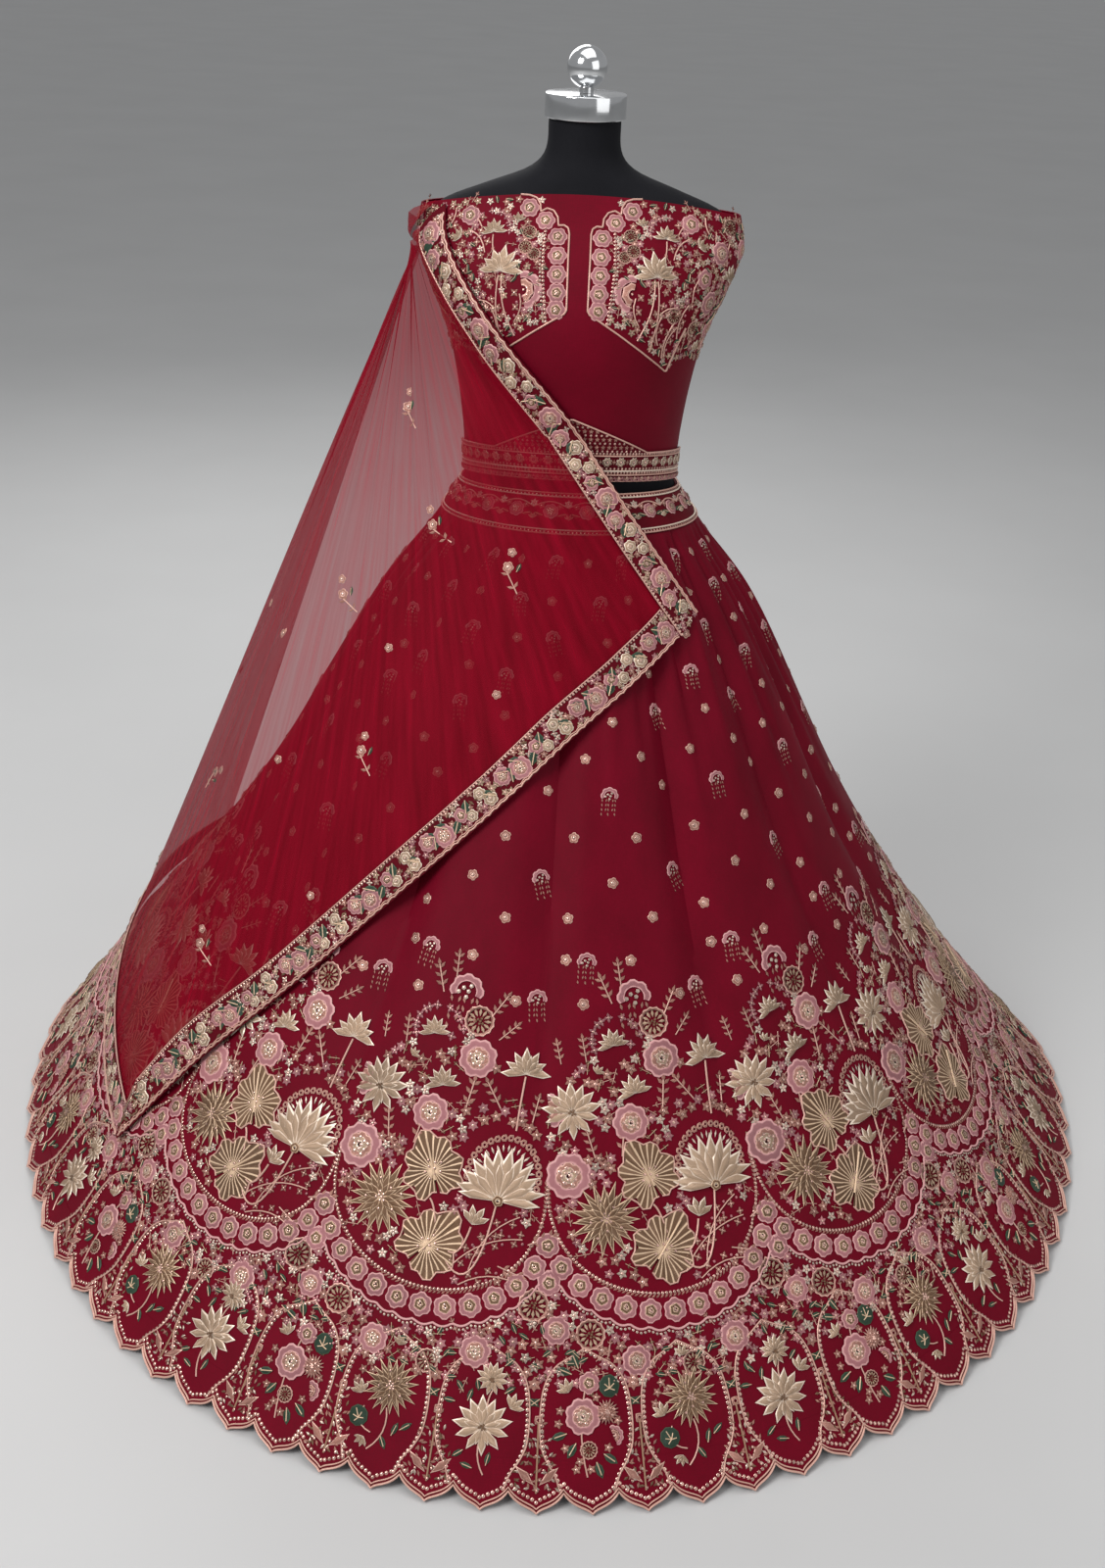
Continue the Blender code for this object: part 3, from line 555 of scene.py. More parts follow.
def metalFinish(name, colour, rough, brushed=0.0):
    material, shader, look = newFinish(name)
    place = look.make("ShaderNodeTexCoord", output=3)
    lines = look.make("ShaderNodeMapping", None, dict(Vector=place, Scale=(40.0, 40.0, 1800.0)))
    brush = look.noise(lines, 1.0, 2.0)
    smudge = look.noise(place, 60.0, 3.0)
    setShader(shader, {
        "Base Color": smudge.clipped(0.2, 0.8).blend(tuple(c * 0.86 for c in colour), colour),
        "Roughness": rough + 0.08 * smudge + brushed * brush,
        "Metallic": 1.0,
        "Normal": look.bump(brush, 0.04 + brushed, 0.0003),
    })
    return material


finishes = dict(
    silk=silkFinish("maroonSilk", srgb(82, 0, 16), srgb(130, 0, 34)),
    band=silkFinish("bandSilk", srgb(74, 2, 14), srgb(112, 6, 28)),
    cream=threadFinish("creamZari", srgb(200, 168, 140), srgb(244, 224, 204)),
    # the gold's body is set darker and its edge lighter than the thread's own tone, so besides the thread's
    # colour they carry painted shade in the leaf's grooves and a painted highlight on its ridges
    gold=threadFinish("antiqueGoldZari", srgb(132, 98, 72), srgb(226, 194, 162), 0.32, 0.40),
    rose=threadFinish("roseGoldZari", srgb(188, 132, 116), srgb(218, 172, 156)),
    pink=threadFinish("dustyPinkThread", srgb(188, 122, 126), srgb(218, 162, 160), 0.44, 0.05),
    green=threadFinish("bottleGreenThread", srgb(30, 62, 40), srgb(52, 76, 52), 0.42, 0.05),
    dark=threadFinish("antiquedThread", srgb(84, 50, 42), srgb(168, 130, 104), 0.40, 0.25),
    sequin=beadFinish("roseGoldSequins", srgb(238, 192, 176)),
    bead=beadFinish("pearlBeads", srgb(222, 198, 180), 0.22, 0.35),
    berry=beadFinish("pinkBeads", srgb(192, 122, 126), 0.22, 0.30),
)
finishNames = list(finishes)
organza = organzaFinish("crimsonOrganza", srgb(150, 2, 34), srgb(116, 0, 20))
jersey = jerseyFinish("blackJersey")
chrome = metalFinish("polishedChrome", (0.78, 0.79, 0.80), 0.07)
steel = metalFinish("brushedSteel", (0.50, 0.51, 0.53), 0.28, 0.12)
print("materials:", len(bpy.data.materials))


# Meshes

def meshObject(name, points, loops, totals, flat, slots, materials, extras=None, sharp=None):
    # one mesh from arrays: corners of all faces in a row, how many each face has, and its marks
    data = bpy.data.meshes.new(name)
    data.vertices.add(len(points))
    data.vertices.foreach_set("co", np.asarray(points, np.float32).ravel())
    data.loops.add(len(loops))
    data.loops.foreach_set("vertex_index", np.asarray(loops, np.int32))
    data.polygons.add(len(totals))
    starts = np.concatenate([[0], np.cumsum(totals)[:-1]])
    data.polygons.foreach_set("loop_start", starts.astype(np.int32))
    data.polygons.foreach_set("loop_total", np.asarray(totals, np.int32))
    data.polygons.foreach_set("material_index", np.asarray(slots, np.int32))
    layer = data.uv_layers.new(name="cloth")
    layer.data.foreach_set("uv", np.asarray(flat, np.float32)[loops].ravel())
    for title, values in (extras or {}).items():
        marks = data.attributes.new(title, "FLOAT", "POINT")
        marks.data.foreach_set("value", np.asarray(values, np.float32))
    data.update(calc_edges=True)
    data.validate()
    data.polygons.foreach_set("use_smooth", np.ones(len(data.polygons), bool))
    if sharp is not None:
        data.set_sharp_from_angle(angle=math.radians(sharp))
    for material in materials:
        data.materials.append(material)
    thing = bpy.data.objects.new(name, data)
    bpy.context.scene.collection.objects.link(thing)
    return thing


def gridCorners(rows, columns, closed, start, turned):
    # four corners of each square of a grid of points
    spans = columns if closed else columns - 1
    r, c = np.meshgrid(np.arange(rows - 1), np.arange(spans), indexing="ij")
    after = (c + 1) % columns
    low, high = r * columns, (r + 1) * columns
    square = np.stack([low + c, low + after, high + after, high + c], -1).reshape(-1, 4) + start
    return square[:, ::-1] if turned else square


def sheetPiece(name, cloth, u, v, material, slot, scale, rise=0.0, wall=0.0, closed=False):
    # a cloth piece over a grid of (u, v); with a wall it is a closed thin shell
    rows, columns = u.shape
    normal = cloth.normal(u, v)
    outer = cloth.form(u, v) + normal * rise
    turned = np.sum(np.cross(outer[0, 1] - outer[0, 0], outer[1, 0] - outer[0, 0]) * normal[0, 0]) < 0
    points = outer.reshape(-1, 3)
    faces = gridCorners(rows, columns, closed, 0, turned)
    flat = np.stack([u * scale[0], v * scale[1]], -1).reshape(-1, 2)
    if wall:
        inner = (outer - normal * wall).reshape(-1, 3)
        count = len(points)
        points = np.concatenate([points, inner])
        flat = np.concatenate([flat, flat])
        inside = gridCorners(rows, columns, closed, count, not turned)
        rim = []
        spans = columns if closed else columns - 1
        for row in (0, rows - 1):
            first = np.arange(spans) + row * columns
            second = (np.arange(spans) + 1) % columns + row * columns
            edge = np.stack([first, first + count, second + count, second], -1)
            rim.append(edge[:, ::-1] if (row == 0) == turned else edge)
        if not closed:
            for column in (0, columns - 1):
                first = np.arange(rows - 1) * columns + column
                second = first + columns
                edge = np.stack([first, second, second + count, first + count], -1)
                rim.append(edge[:, ::-1] if (column == 0) == turned else edge)
        faces = np.concatenate([faces, inside, *rim])
    thing = meshObject(name, points, faces.ravel(), np.full(len(faces), 4), flat,
                       np.zeros(len(faces)), [material], sharp=40.0)
    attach(thing, "root")
    return thing


def gridOf(us, vs):
    u, v = np.meshgrid(us, vs)
    return u, v


formLevels = tableOf(
    "height side front back",
    (0.780, 0.118, 0.088, 0.080), (0.784, 0.128, 0.098, 0.088), (0.830, 0.142, 0.112, 0.104),
    (0.880, 0.141, 0.119, 0.106), (0.924, 0.1366, 0.1234, 0.1036), (0.940, 0.1310, 0.1190, 0.0955),
    (1.000, 0.1330, 0.1240, 0.0890), (1.060, 0.1420, 0.1330, 0.0910), (1.120, 0.1575, 0.1435, 0.0950),
    (1.170, 0.1750, 0.1340, 0.0915), (1.220, 0.1900, 0.1060, 0.0820), (1.248, 0.1840, 0.0790, 0.0670),
    (1.268, 0.1640, 0.0620, 0.0560), (1.287, 0.1160, 0.0520, 0.0500), (1.306, 0.0660, 0.0470, 0.0480),
    (1.326, 0.0460, 0.0430, 0.0440), (1.364, 0.0425, 0.0425, 0.0425))
fittings = dict(capRadius=0.048, capHeight=0.027, capLow=1.3643, bevel=0.0015, ballRadius=0.0235,
                ballHeight=1.4195, stemRadius=0.0085, stemHeight=0.010, stemLow=1.3916)


def formPoint(angle, height):
    # the dress form, one smooth curve through its levels
    sizes = [readTable(formLevels, "height", name, height) for name in ("side", "front", "back")]
    x, y = ovalPoint(*sizes, angle)
    return np.stack([x, y, height], -1)


def buildForm():
    heights = np.concatenate([np.linspace(0.7805, 0.940, 24), np.linspace(0.945, 1.364, 84)])
    angles = np.arange(96) / 96 * 2 * math.pi
    body = sheetPiece("formBody", Cloth(formPoint), *gridOf(angles, heights), jersey, "jersey", (0.15, 1.0),
                      wall=0.0020, closed=True)
    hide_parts("form_torso")


def smoothed(thing, name, material):
    for polygon in thing.data.polygons:
        polygon.use_smooth = True
    thing.data.set_sharp_from_angle(angle=math.radians(50))
    thing.name = name
    thing.data.materials.append(material)
    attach(thing, "root")


def cylinder(corners, radius, low, height):
    bpy.ops.object.select_all(action="DESELECT")
    bpy.ops.mesh.primitive_cylinder_add(vertices=corners, radius=radius, depth=height,
                                        location=(0.0, 0.0, low + height / 2))
    return bpy.context.object


def buildFittings():
    cap = cylinder(96, fittings["capRadius"], fittings["capLow"], fittings["capHeight"])
    bevel = cap.modifiers.new("bevel", "BEVEL")
    bevel.width, bevel.segments, bevel.limit_method = fittings["bevel"], 4, "ANGLE"
    bpy.ops.object.modifier_apply(modifier="bevel")
    bpy.ops.object.transform_apply(location=True, rotation=True, scale=True)
    smoothed(cap, "neckCap", chrome)
    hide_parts("form_neck_cap")
    foot = cylinder(48, fittings["stemRadius"], fittings["stemLow"], fittings["stemHeight"])
    bpy.ops.mesh.primitive_uv_sphere_add(segments=64, ring_count=40, radius=fittings["ballRadius"],
                                         location=(0.0, 0.0, fittings["ballHeight"]))
    ball = bpy.context.object
    foot.select_set(True)
    bpy.ops.object.join()
    bpy.ops.object.transform_apply(location=True, rotation=True, scale=True)
    smoothed(ball, "ballFinial", chrome)
    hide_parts("form_finial")


panelNames = [f"lehenga_kali_{index + 1:02d}" for index in range(panelCount)]
hemNames = [f"lehenga_hem_{index + 1:02d}" for index in range(12)]
skirtFlat, blouseFlat, trimFlat = (4.5, 1.15), (0.15, 0.33), (1.0, 1.0)


def buildSkirt():
    top, bottom = skirtCut["bandReach"] + 0.0004, skirtCut["hemStart"] + 0.004
    turns = np.arange(panelCount * 24) / (panelCount * 24)
    downs = top + (bottom - top) * np.linspace(0.0, 1.0, 84) ** 1.15
    skirt = sheetPiece("lehengaSkirt", skirtCloth, *gridOf(turns, downs), finishes["silk"], "silk",
                       skirtFlat, wall=skirtCut["wall"], closed=True)
    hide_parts(*panelNames)
    downs = np.linspace(0.0, skirtCut["bandReach"], 6)
    band = sheetPiece("lehengaWaistband", waistCloth, *gridOf(np.arange(208) / 208, downs),
                      finishes["band"], "silk", skirtFlat,
                      rise=0.0008, wall=skirtCut["bandWall"], closed=True)
    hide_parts("lehenga_waistband")


def scallopDepth(turn):
    # how far the hem's edge lies above a scallop's tip: a round lobe with a small point
    place = turn * skirtCut["scallops"]
    offTip = np.abs(place - np.round(place)) * 2
    lobe = 0.50 * offTip + 0.38 * offTip ** 4 + 0.12 * (1 - np.exp(-offTip / 0.12))
    return skirtCut["notch"] * lobe


def buildHem():
    steps = skirtCut["scallops"] * 12
    turns = np.arange(steps) / steps
    shares = np.linspace(0.0, 1.0, 5)
    u, share = gridOf(turns, shares)
    low = 1.0 - scallopDepth(u)
    v = skirtCut["hemStart"] + (low - skirtCut["hemStart"]) * share
    hem = sheetPiece("lehengaHem", skirtCloth, u, v, finishes["silk"], "silk", skirtFlat,
                     rise=0.0004, wall=skirtCut["hemWall"], closed=True)
    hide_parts(*hemNames)


def buildBlouse():
    for name, node, first, last in (("choliFront", "choli_front", -90.0, 90.0),
                                    ("choliBack", "choli_back", 90.0, 270.0)):
        gap = 0.001
        angles = np.radians(np.linspace(first, last, 73))
        angles[0], angles[-1] = angles[0] + gap, angles[-1] - gap
        piece = sheetPiece(name, blouseCloth, *gridOf(angles, np.linspace(0.0, 1.0, 49)), finishes["silk"],
                           "silk", blouseFlat, wall=blouseCut["wall"])
        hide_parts(node)


beltCut = dict(low=0.006, height=0.115, peak=0.135, peakHalf=42.0, rise=0.0021, wall=0.0012)


def beltTop(angle):
    peak = np.maximum(1 - np.abs(np.degrees(angle)) / beltCut["peakHalf"], 0.0)
    return beltCut["height"] + beltCut["peak"] * peak + 0.01 * np.abs(np.sin(angle))


def buildBelt():
    angles = np.radians(np.linspace(-88.0, 88.0, 97))
    u, share = gridOf(angles, np.linspace(0.0, 1.0, 6))
    v = beltCut["low"] + (beltTop(u) - beltCut["low"]) * share
    belt = sheetPiece("choliBelt", blouseCloth, u, v, finishes["band"], "silk", blouseFlat,
                      rise=beltCut["rise"], wall=beltCut["wall"])
    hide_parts("choli_belt")


def trimShare(reach):
    # share of the fall at which the border begins above the veil's lower edges
    reach = np.maximum(reach, veilCut["trimWidth"])
    step = 0.01
    ends = reach <= veilCorner
    low = np.maximum(reach - step, np.where(ends, 0.0, veilCorner))
    high = np.minimum(reach + step, np.where(ends, veilCorner, veilReach))
    along = edgePoint(high) - edgePoint(low)
    ray = edgePoint(reach) - veilForm(reach, 0.5 + 0 * reach)
    cosine = np.sum(along * ray, -1) / np.linalg.norm(along, axis=-1) / np.linalg.norm(ray, axis=-1)
    slant = np.sqrt(np.maximum(1 - cosine ** 2, 0.05))
    length = np.linalg.norm(edgePoint(reach) - veilForm(reach, 0 * reach), axis=-1)
    return 1 - veilCut["trimWidth"] / slant / length


trimReaches = np.concatenate([np.linspace(0.0, veilCorner, 500),
                              np.linspace(veilCorner + 1e-6, veilReach, 300)])
trimShares = trimShare(trimReaches)


def trimStart(reach):
    return np.interp(reach, trimReaches, trimShares)


def buildVeil():
    reaches = np.concatenate([np.linspace(0.0, veilCorner, 181),
                              np.linspace(veilCorner, veilReach, 91)[1:]])
    u, v = gridOf(reaches, np.linspace(0.0, 1.0, 90))
    rise = veilCut["clothRise"]
    front = sheetPiece("dupattaFront", veilCloth, u, v, organza, "organza", (1.0, 1.0), rise)
    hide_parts("dupatta_front")
    u, v = gridOf(np.linspace(0.0, 1.0, 97), np.linspace(0.0, 1.0, 110))
    back = sheetPiece("dupattaBack", fallCloth, u, v, organza, "organza", (0.9, 1.2), rise)
    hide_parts("dupatta_back")
    width = veilCut["trimWidth"]
    trims = []
    u, v = gridOf(np.linspace(0.0, width, 7), np.linspace(0.0, 1.0, 80))
    trims.append(("dupattaTrimShoulder", "dupatta_trim_shoulder", veilCloth, u, v))
    lower = (("dupattaTrimEnd", "dupatta_trim_end", width, veilCorner, 140),
             ("dupattaTrimSide", "dupatta_trim_side", veilCorner, veilReach, 90))
    for name, node, low, high, count in lower:
        u, share = gridOf(np.linspace(low, high, count), np.linspace(0.0, 1.0, 6))
        start = trimStart(u)
        trims.append((name, node, veilCloth, u, start + (1 - start) * share))
    u, v = gridOf(np.linspace(0.0, 1.0, 97), np.linspace(veilCut["fallTrim"], 1.0, 6))
    trims.append(("dupattaTrimBack", "dupatta_trim_back", fallCloth, u, v))
    for name, node, cloth, u, v in trims:
        strip = sheetPiece(name, cloth, u, v, finishes["band"], "silk", trimFlat,
                           veilCut["trimRise"], veilCut["trimWall"])
        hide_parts(node)


buildSkirt()
buildHem()
buildBlouse()
buildBelt()
buildVeil()
buildForm()
buildFittings()
for name in ("form_pole", "form_base"):
    stand = bpy.data.objects[name]
    stand.data.materials.clear()
    stand.data.materials.append(steel)
print("cloth shells and dress form built")


# Needlework

class Motif:
    # a flat piece of needlework in metres: x to the right, y up, z off the cloth
    def __init__(self):
        self.points, self.marks, self.faces, self.kinds = [], [], [], []

    def add(self, points, marks, faces, finish):
        start = len(self.points)
        self.points += [tuple(point) for point in points]
        self.marks += [tuple(mark) for mark in marks]
        self.faces += [tuple(start + corner for corner in face) for face in faces]
        self.kinds += [finishNames.index(finish)] * len(faces)
        return self

    def sew(self, other, x=0.0, y=0.0, turn=0.0, size=1.0, lift=0.0, flip=1):
        c, s = math.cos(turn) * size, math.sin(turn) * size
        start = len(self.points)
        for px, py, pz in other.points:
            px *= flip
            self.points.append((x + c * px - s * py, y + s * px + c * py, lift + pz * size))
        self.marks += other.marks
        for face in other.faces:
            corners = face if flip > 0 else face[::-1]
            self.faces.append(tuple(start + corner for corner in corners))
        self.kinds += other.kinds
        return self


def pad(outline, height, finish, inner, core):
    # a padded patch: corded rim, raised ring, and a middle that is full or sunk
    count = len(outline)
    rim = np.array(outline, float)
    middle = rim.mean(axis=0)
    ring = middle + (rim - middle) * inner
    points = [(*p, 0.0) for p in rim] + [(*p, height) for p in ring] + [(*middle, height * core)]
    marks = [(*p, 1.0) for p in rim] + [(*p, 0.45) for p in ring] + [(*middle, 0.0)]
    faces = []
    for i in range(count):
        j = (i + 1) % count
        faces += [(i, j, count + j, count + i), (count + i, count + j, 2 * count)]
    return Motif().add(points, marks, faces, finish)


def petal(length, width, height, finish, belly=0.55, bend=0.0, steps=2, core=0.55):
    along = np.linspace(0.0, 1.0, steps + 2)[1:-1]
    half = width / 2 * np.sin(math.pi * along ** (math.log(0.5) / math.log(belly))) ** 0.7
    right = [(h, a * length) for h, a in zip(half, along)]
    outline = [(0.0, 0.0)] + right + [(0.0, length)] + [(-h, y) for h, y in reversed(right)]
    return pad([(x + bend * (y / length) ** 2 * length, y) for x, y in outline], height, finish, 0.62, core)


def seed(length, width, height, finish):
    # a short coiled stitch
    points = [(0, 0, 0), (width / 2, length / 2, 0), (0, length, 0), (-width / 2, length / 2, 0),
              (0, length / 2, height)]
    marks = [(x, y, 0.5) for x, y, z in points]
    return Motif().add(points, marks, [(0, 1, 4), (1, 2, 4), (2, 3, 4), (3, 0, 4)], finish)


def bead(radius, finish, sides=6, tall=0.75):
    angles = [2 * math.pi * i / sides for i in range(sides)]
    points = [(radius * math.cos(a), radius * math.sin(a), 0.0) for a in angles] + [(0, 0, radius * tall)]
    marks = [(x, y, 0.2) for x, y, z in points]
    return Motif().add(points, marks, [(i, (i + 1) % sides, sides) for i in range(sides)], finish)


def rosette(radius, lobes, height, finish, inner=0.42, wave=0.15, perLobe=3, first=0.0, span=2 * math.pi):
    # a ring of joined round lobes; with a shorter span it is a fan
    whole = span > 6.28
    count = lobes * perLobe + (0 if whole else 1)
    points, marks, faces = [], [], []
    for share, z, rim in ((1.0, 0.0, 1.0), (0.76, height, 0.35), (inner, height * 0.45, 0.9)):
        for i in range(count):
            place = i / (lobes * perLobe)
            crest = abs(math.sin(math.pi * place * lobes))
            r = radius * share * (1 - wave * (1 - crest) * (share > inner))
            angle = first + span * place
            points.append((r * math.cos(angle), r * math.sin(angle), z))
            marks.append((r * angle, r, rim))
    for ring in (0, 1):
        for i in range(count if whole else count - 1):
            j = (i + 1) % count
            low, high = ring * count, (ring + 1) * count
            faces.append((low + i, low + j, high + j, high + i))
    return Motif().add(points, marks, faces, finish)


def cluster(radius, count, size, finish):
    # sequins packed like the seeds of a sunflower
    motif = Motif()
    for i in range(count):
        r, angle = radius * math.sqrt((i + 0.3) / count), i * 2.39996
        motif.sew(bead(size, finish, 5, 0.5), r * math.cos(angle), r * math.sin(angle), angle)
    return motif


def stem(path, width, height, finish):
    # a corded line
    path = np.array(path, float)
    run = np.gradient(path, axis=0)
    run /= np.linalg.norm(run, axis=1, keepdims=True)
    side = np.stack([-run[:, 1], run[:, 0]], -1)
    points, marks, faces = [], [], []
    for index, (p, s) in enumerate(zip(path, side)):
        for across, z in ((-0.5, 0.0), (-0.22, height), (0.22, height), (0.5, 0.0)):
            points.append((*(p - s * across * width), z))
            marks.append((across * width, index * width, 0.9))
    for i in range(len(path) - 1):
        for k in range(3):
            a = 4 * i + k
            faces.append((a + 1, a, a + 4, a + 5))
    return Motif().add(points, marks, faces, finish)


def bow(start, end, lean, count=7):
    # points of a curved stem from start to end, leaning out to its left
    start, end = np.array(start, float), np.array(end, float)
    t = np.linspace(0.0, 1.0, count)[:, None]
    out = np.array([start[1] - end[1], end[0] - start[0]])
    return start * (1 - t) + end * t + out * lean * 4 * t * (1 - t)


def fanOf(petals, finish, height, lift, width):
    # petals from one foot: rows of (degrees from upright, length, bend)
    motif = Motif()
    for degrees, length, bend in petals:
        leaf = petal(length, length * width, height, finish, 0.62, bend, core=0.5)
        motif.sew(leaf, turn=-math.radians(degrees), lift=lift)
    return motif


def fanLotus(width):
    # the large open lotus with a halo of bead loops
    w = width / 2
    motif = Motif()
    for i in range(19):
        angle = math.radians(-12 + 204 * i / 18)
        x, y = w * 0.78 * math.cos(angle), w * 0.52 + w * 0.86 * math.sin(angle) * 0.92
        out = angle - math.pi / 2
        motif.sew(rosette(w * 0.085, 3, 0.0012, "rose", 0.4, 0.1, 2), x, y, out)
        inward = y - (y - w * 0.5) * 0.16
        motif.sew(seed(w * 0.17, w * 0.05, 0.0012, "bead"), x * 0.90, inward, out + math.pi)
    back = [(-74, 1.02, -0.10), (-58, 1.02, -0.06), (-42, 1.05, -0.04), (-27, 1.08, -0.02),
            (-12, 1.12, 0.0), (4, 1.12, 0.0), (19, 1.08, 0.02), (34, 1.05, 0.04), (50, 1.02, 0.06),
            (68, 1.02, 0.10)]
    front = [(-80, 0.86, -0.16), (-50, 0.80, -0.05), (-30, 0.84, -0.03), (-8, 0.86, 0.0), (14, 0.85, 0.01),
             (36, 0.82, 0.03), (58, 0.80, 0.08), (80, 0.88, 0.16)]
    motif.sew(fanOf([(a, l * w, b) for a, l, b in back], "cream", 0.0026, 0.0002, 0.25))
    motif.sew(fanOf([(a, l * w, b) for a, l, b in front], "cream", 0.0030, 0.0016, 0.23))
    motif.sew(rosette(w * 0.12, 5, 0.0016, "gold", 0.3), lift=0.003)
    return motif


def openLotus(width):
    # a smaller lotus that opens upwards
    w = width / 2
    back = [(-82, 0.98, -0.12), (-56, 0.92, -0.06), (-28, 0.98, -0.03), (0, 1.05, 0.0), (28, 0.98, 0.03),
            (56, 0.92, 0.06), (82, 0.98, 0.12)]
    front = [(-62, 0.70, -0.10), (-36, 0.72, -0.04), (-12, 0.76, 0.0), (14, 0.76, 0.0), (38, 0.72, 0.04),
             (64, 0.70, 0.10)]
    motif = fanOf([(a, l * w, b) for a, l, b in back], "cream", 0.0022, 0.0002, 0.30)
    return motif.sew(fanOf([(a, l * w, b) for a, l, b in front], "cream", 0.0024, 0.0014, 0.27))


def starLotus(width):
    # a lotus seen from the front, petals all round its heart
    w = width / 2
    back = [(0, 0.98), (26, 0.94), (52, 0.95), (80, 0.98), (108, 0.86), (142, 0.84), (180, 0.86),
            (216, 0.82), (252, 0.88), (280, 0.98), (308, 0.95), (334, 0.94)]
    front = [(12, 0.66), (44, 0.64), (78, 0.62), (285, 0.62), (318, 0.64), (347, 0.66), (160, 0.58),
             (200, 0.56)]
    motif = fanOf([(a, l * w, 0.0) for a, l in back], "cream", 0.0023, 0.0002, 0.30)
    motif.sew(fanOf([(a, l * w, 0.0) for a, l in front], "cream", 0.0023, 0.0015, 0.30))
    return motif.sew(cluster(w * 0.11, 6, 0.0016, "gold"), lift=0.0032)


def budLotus(width):
    w = width / 2
    back = [(-48, 0.92, -0.10), (-20, 1.02, -0.03), (14, 1.05, 0.02), (44, 0.92, 0.10)]
    front = [(-26, 0.66, 0.0), (4, 0.70, 0.0), (30, 0.64, 0.0)]
    motif = fanOf([(a, l * w, b) for a, l, b in back], "cream", 0.0020, 0.0002, 0.34)
    return motif.sew(fanOf([(a, l * w, b) for a, l, b in front], "cream", 0.0020, 0.0012, 0.30))


def goldLeaf(width):
    # a lobed leaf with a pointed tip: radial cords round a cleft foot, a midrib, sequins, a rose rim; the
    # raised cords carry a painted highlight and the grooves between them painted shade
    r, count = width / 2, 54
    points, marks, faces = [(0.0, 0.0, 0.0012)], [(0.0, 0.0, 1.0)], []
    for share in (0.5, 1.0):
        for i in range(count + 1):
            angle = math.radians(-86 + 352 * i / count)
            cleft = 1 - 0.30 * math.exp(-(min(i, count - i) / 2.0) ** 2)
            tip = 0.30 * max(math.cos(angle - math.pi / 2), 0.0) ** 7
            edge = (0.72 + tip + 0.24 * abs(math.sin(4 * (angle - math.pi / 2) + 1.2))) * cleft
            ridge = i % 2
            z = (0.0009 + 0.0017 * ridge) if share < 1 else 0.0010 * ridge + 0.0002
            points.append((r * share * edge * math.cos(angle), r * share * edge * math.sin(angle), z))
            # painted highlight and shade: a rim mark of 0.95 gives each raised ridge the light edge colour,
            # and 0.05 leaves the grooves between ridges in the dark body colour
            marks.append((angle * 0.01, r * share, 0.95 if ridge else 0.05))
    for i in range(count):
        a, b = 1 + i, 2 + count + i
        faces += [(0, a, a + 1), (a, b, b + 1, a + 1)]
    motif = Motif().add(points, marks, faces, "gold")
    rim = [(1.02 * x, 1.02 * y) for x, y, z in points[2 + count::2]]
    motif.sew(stem([(0.0, -r * 0.30), (0.0, r * 0.98)], 0.0026, 0.0014, "gold"), lift=0.0022)
    motif.sew(cluster(r * 0.34, 9, 0.0016, "sequin"), y=r * 0.05, lift=0.0030)
    return motif.sew(stem(rim, 0.0022, 0.0014, "rose"))


def burst(radius, finish="gold"):
    # a chrysanthemum with three rows of narrow petals and sequins
    motif = Motif()
    for count, share, lift in ((19, 1.0, 0.0002), (15, 0.74, 0.0016), (10, 0.48, 0.0030)):
        for i in range(count):
            length = radius * share * (1 + 0.07 * math.sin(i * 2.7))
            motif.sew(petal(length, radius * 0.24 * share ** 0.4, 0.0018, finish, 0.66, steps=1, core=0.7),
                      turn=2 * math.pi * (i + share) / count, lift=lift)
    motif.sew(cluster(radius * 0.16, 7, 0.0018, "sequin"), lift=0.0044)
    return motif.sew(cluster(radius * 0.62, 9, 0.0016, "sequin"), lift=0.0036)


def roseFlower(radius, petals=8):
    # a round rose: satin lobes outside, metal thread inside, sequins at its heart
    motif = rosette(radius, petals, 0.0020, "pink", 0.52, 0.13)
    motif.sew(rosette(radius * 0.60, 7, 0.0018, "rose", 0.42, 0.18), turn=0.3, lift=0.0008)
    motif.sew(rosette(radius * 0.38, 5, 0.0015, "cream", 0.30, 0.18, 2), turn=0.7, lift=0.0018)
    return motif.sew(cluster(radius * 0.42, 11, max(radius * 0.095, 0.0012), "sequin"), lift=0.0028)


def rimFlower(radius):
    motif = rosette(radius, 6, 0.0017, "pink", 0.46, 0.16)
    motif.sew(rosette(radius * 0.54, 5, 0.0014, "gold", 0.30, 0.20, 2), lift=0.0010)
    return motif.sew(cluster(radius * 0.22, 3, 0.0016, "sequin"), lift=0.0022)


def buttonFlower(radius):
    motif = rosette(radius, 13, 0.0012, "rose", 0.84, 0.08, 2)
    for i in range(12):
        turn = 2 * math.pi * i / 12
        motif.sew(seed(radius * 0.52, radius * 0.2, 0.0013, "cream"), -radius * 0.3 * math.sin(turn),
                  radius * 0.3 * math.cos(turn), turn, lift=0.0004)
    return motif.sew(cluster(radius * 0.28, 6, radius * 0.09, "gold"), lift=0.0008)


def creamFlower(radius):
    # a small full-blown flower of cream thread
    motif = rosette(radius, 6, 0.0018, "cream", 0.40, 0.16)
    motif.sew(rosette(radius * 0.5, 4, 0.0014, "cream", 0.25, 0.2, 2), turn=0.5, lift=0.0010)
    return motif.sew(bead(radius * 0.16, "sequin", 6), lift=0.0024)


def halfFan(radius):
    # a rose seen from its side
    motif = rosette(radius, 5, 0.0018, "pink", 0.62, 0.12, 3, 0.0, math.pi)
    motif.sew(rosette(radius * 0.60, 4, 0.0014, "rose", 0.4, 0.12, 2, 0.0, math.pi), lift=0.0008)
    return motif.sew(cluster(radius * 0.28, 5, 0.0014, "sequin"), y=radius * 0.26, lift=0.0014)


def blossom(radius, petals=5, finish="rose"):
    motif = Motif()
    for i in range(petals):
        motif.sew(seed(radius, radius * 0.62, radius * 0.20, finish), turn=2 * math.pi * i / petals)
    return motif.sew(bead(radius * 0.30, "sequin", 5), lift=radius * 0.10)


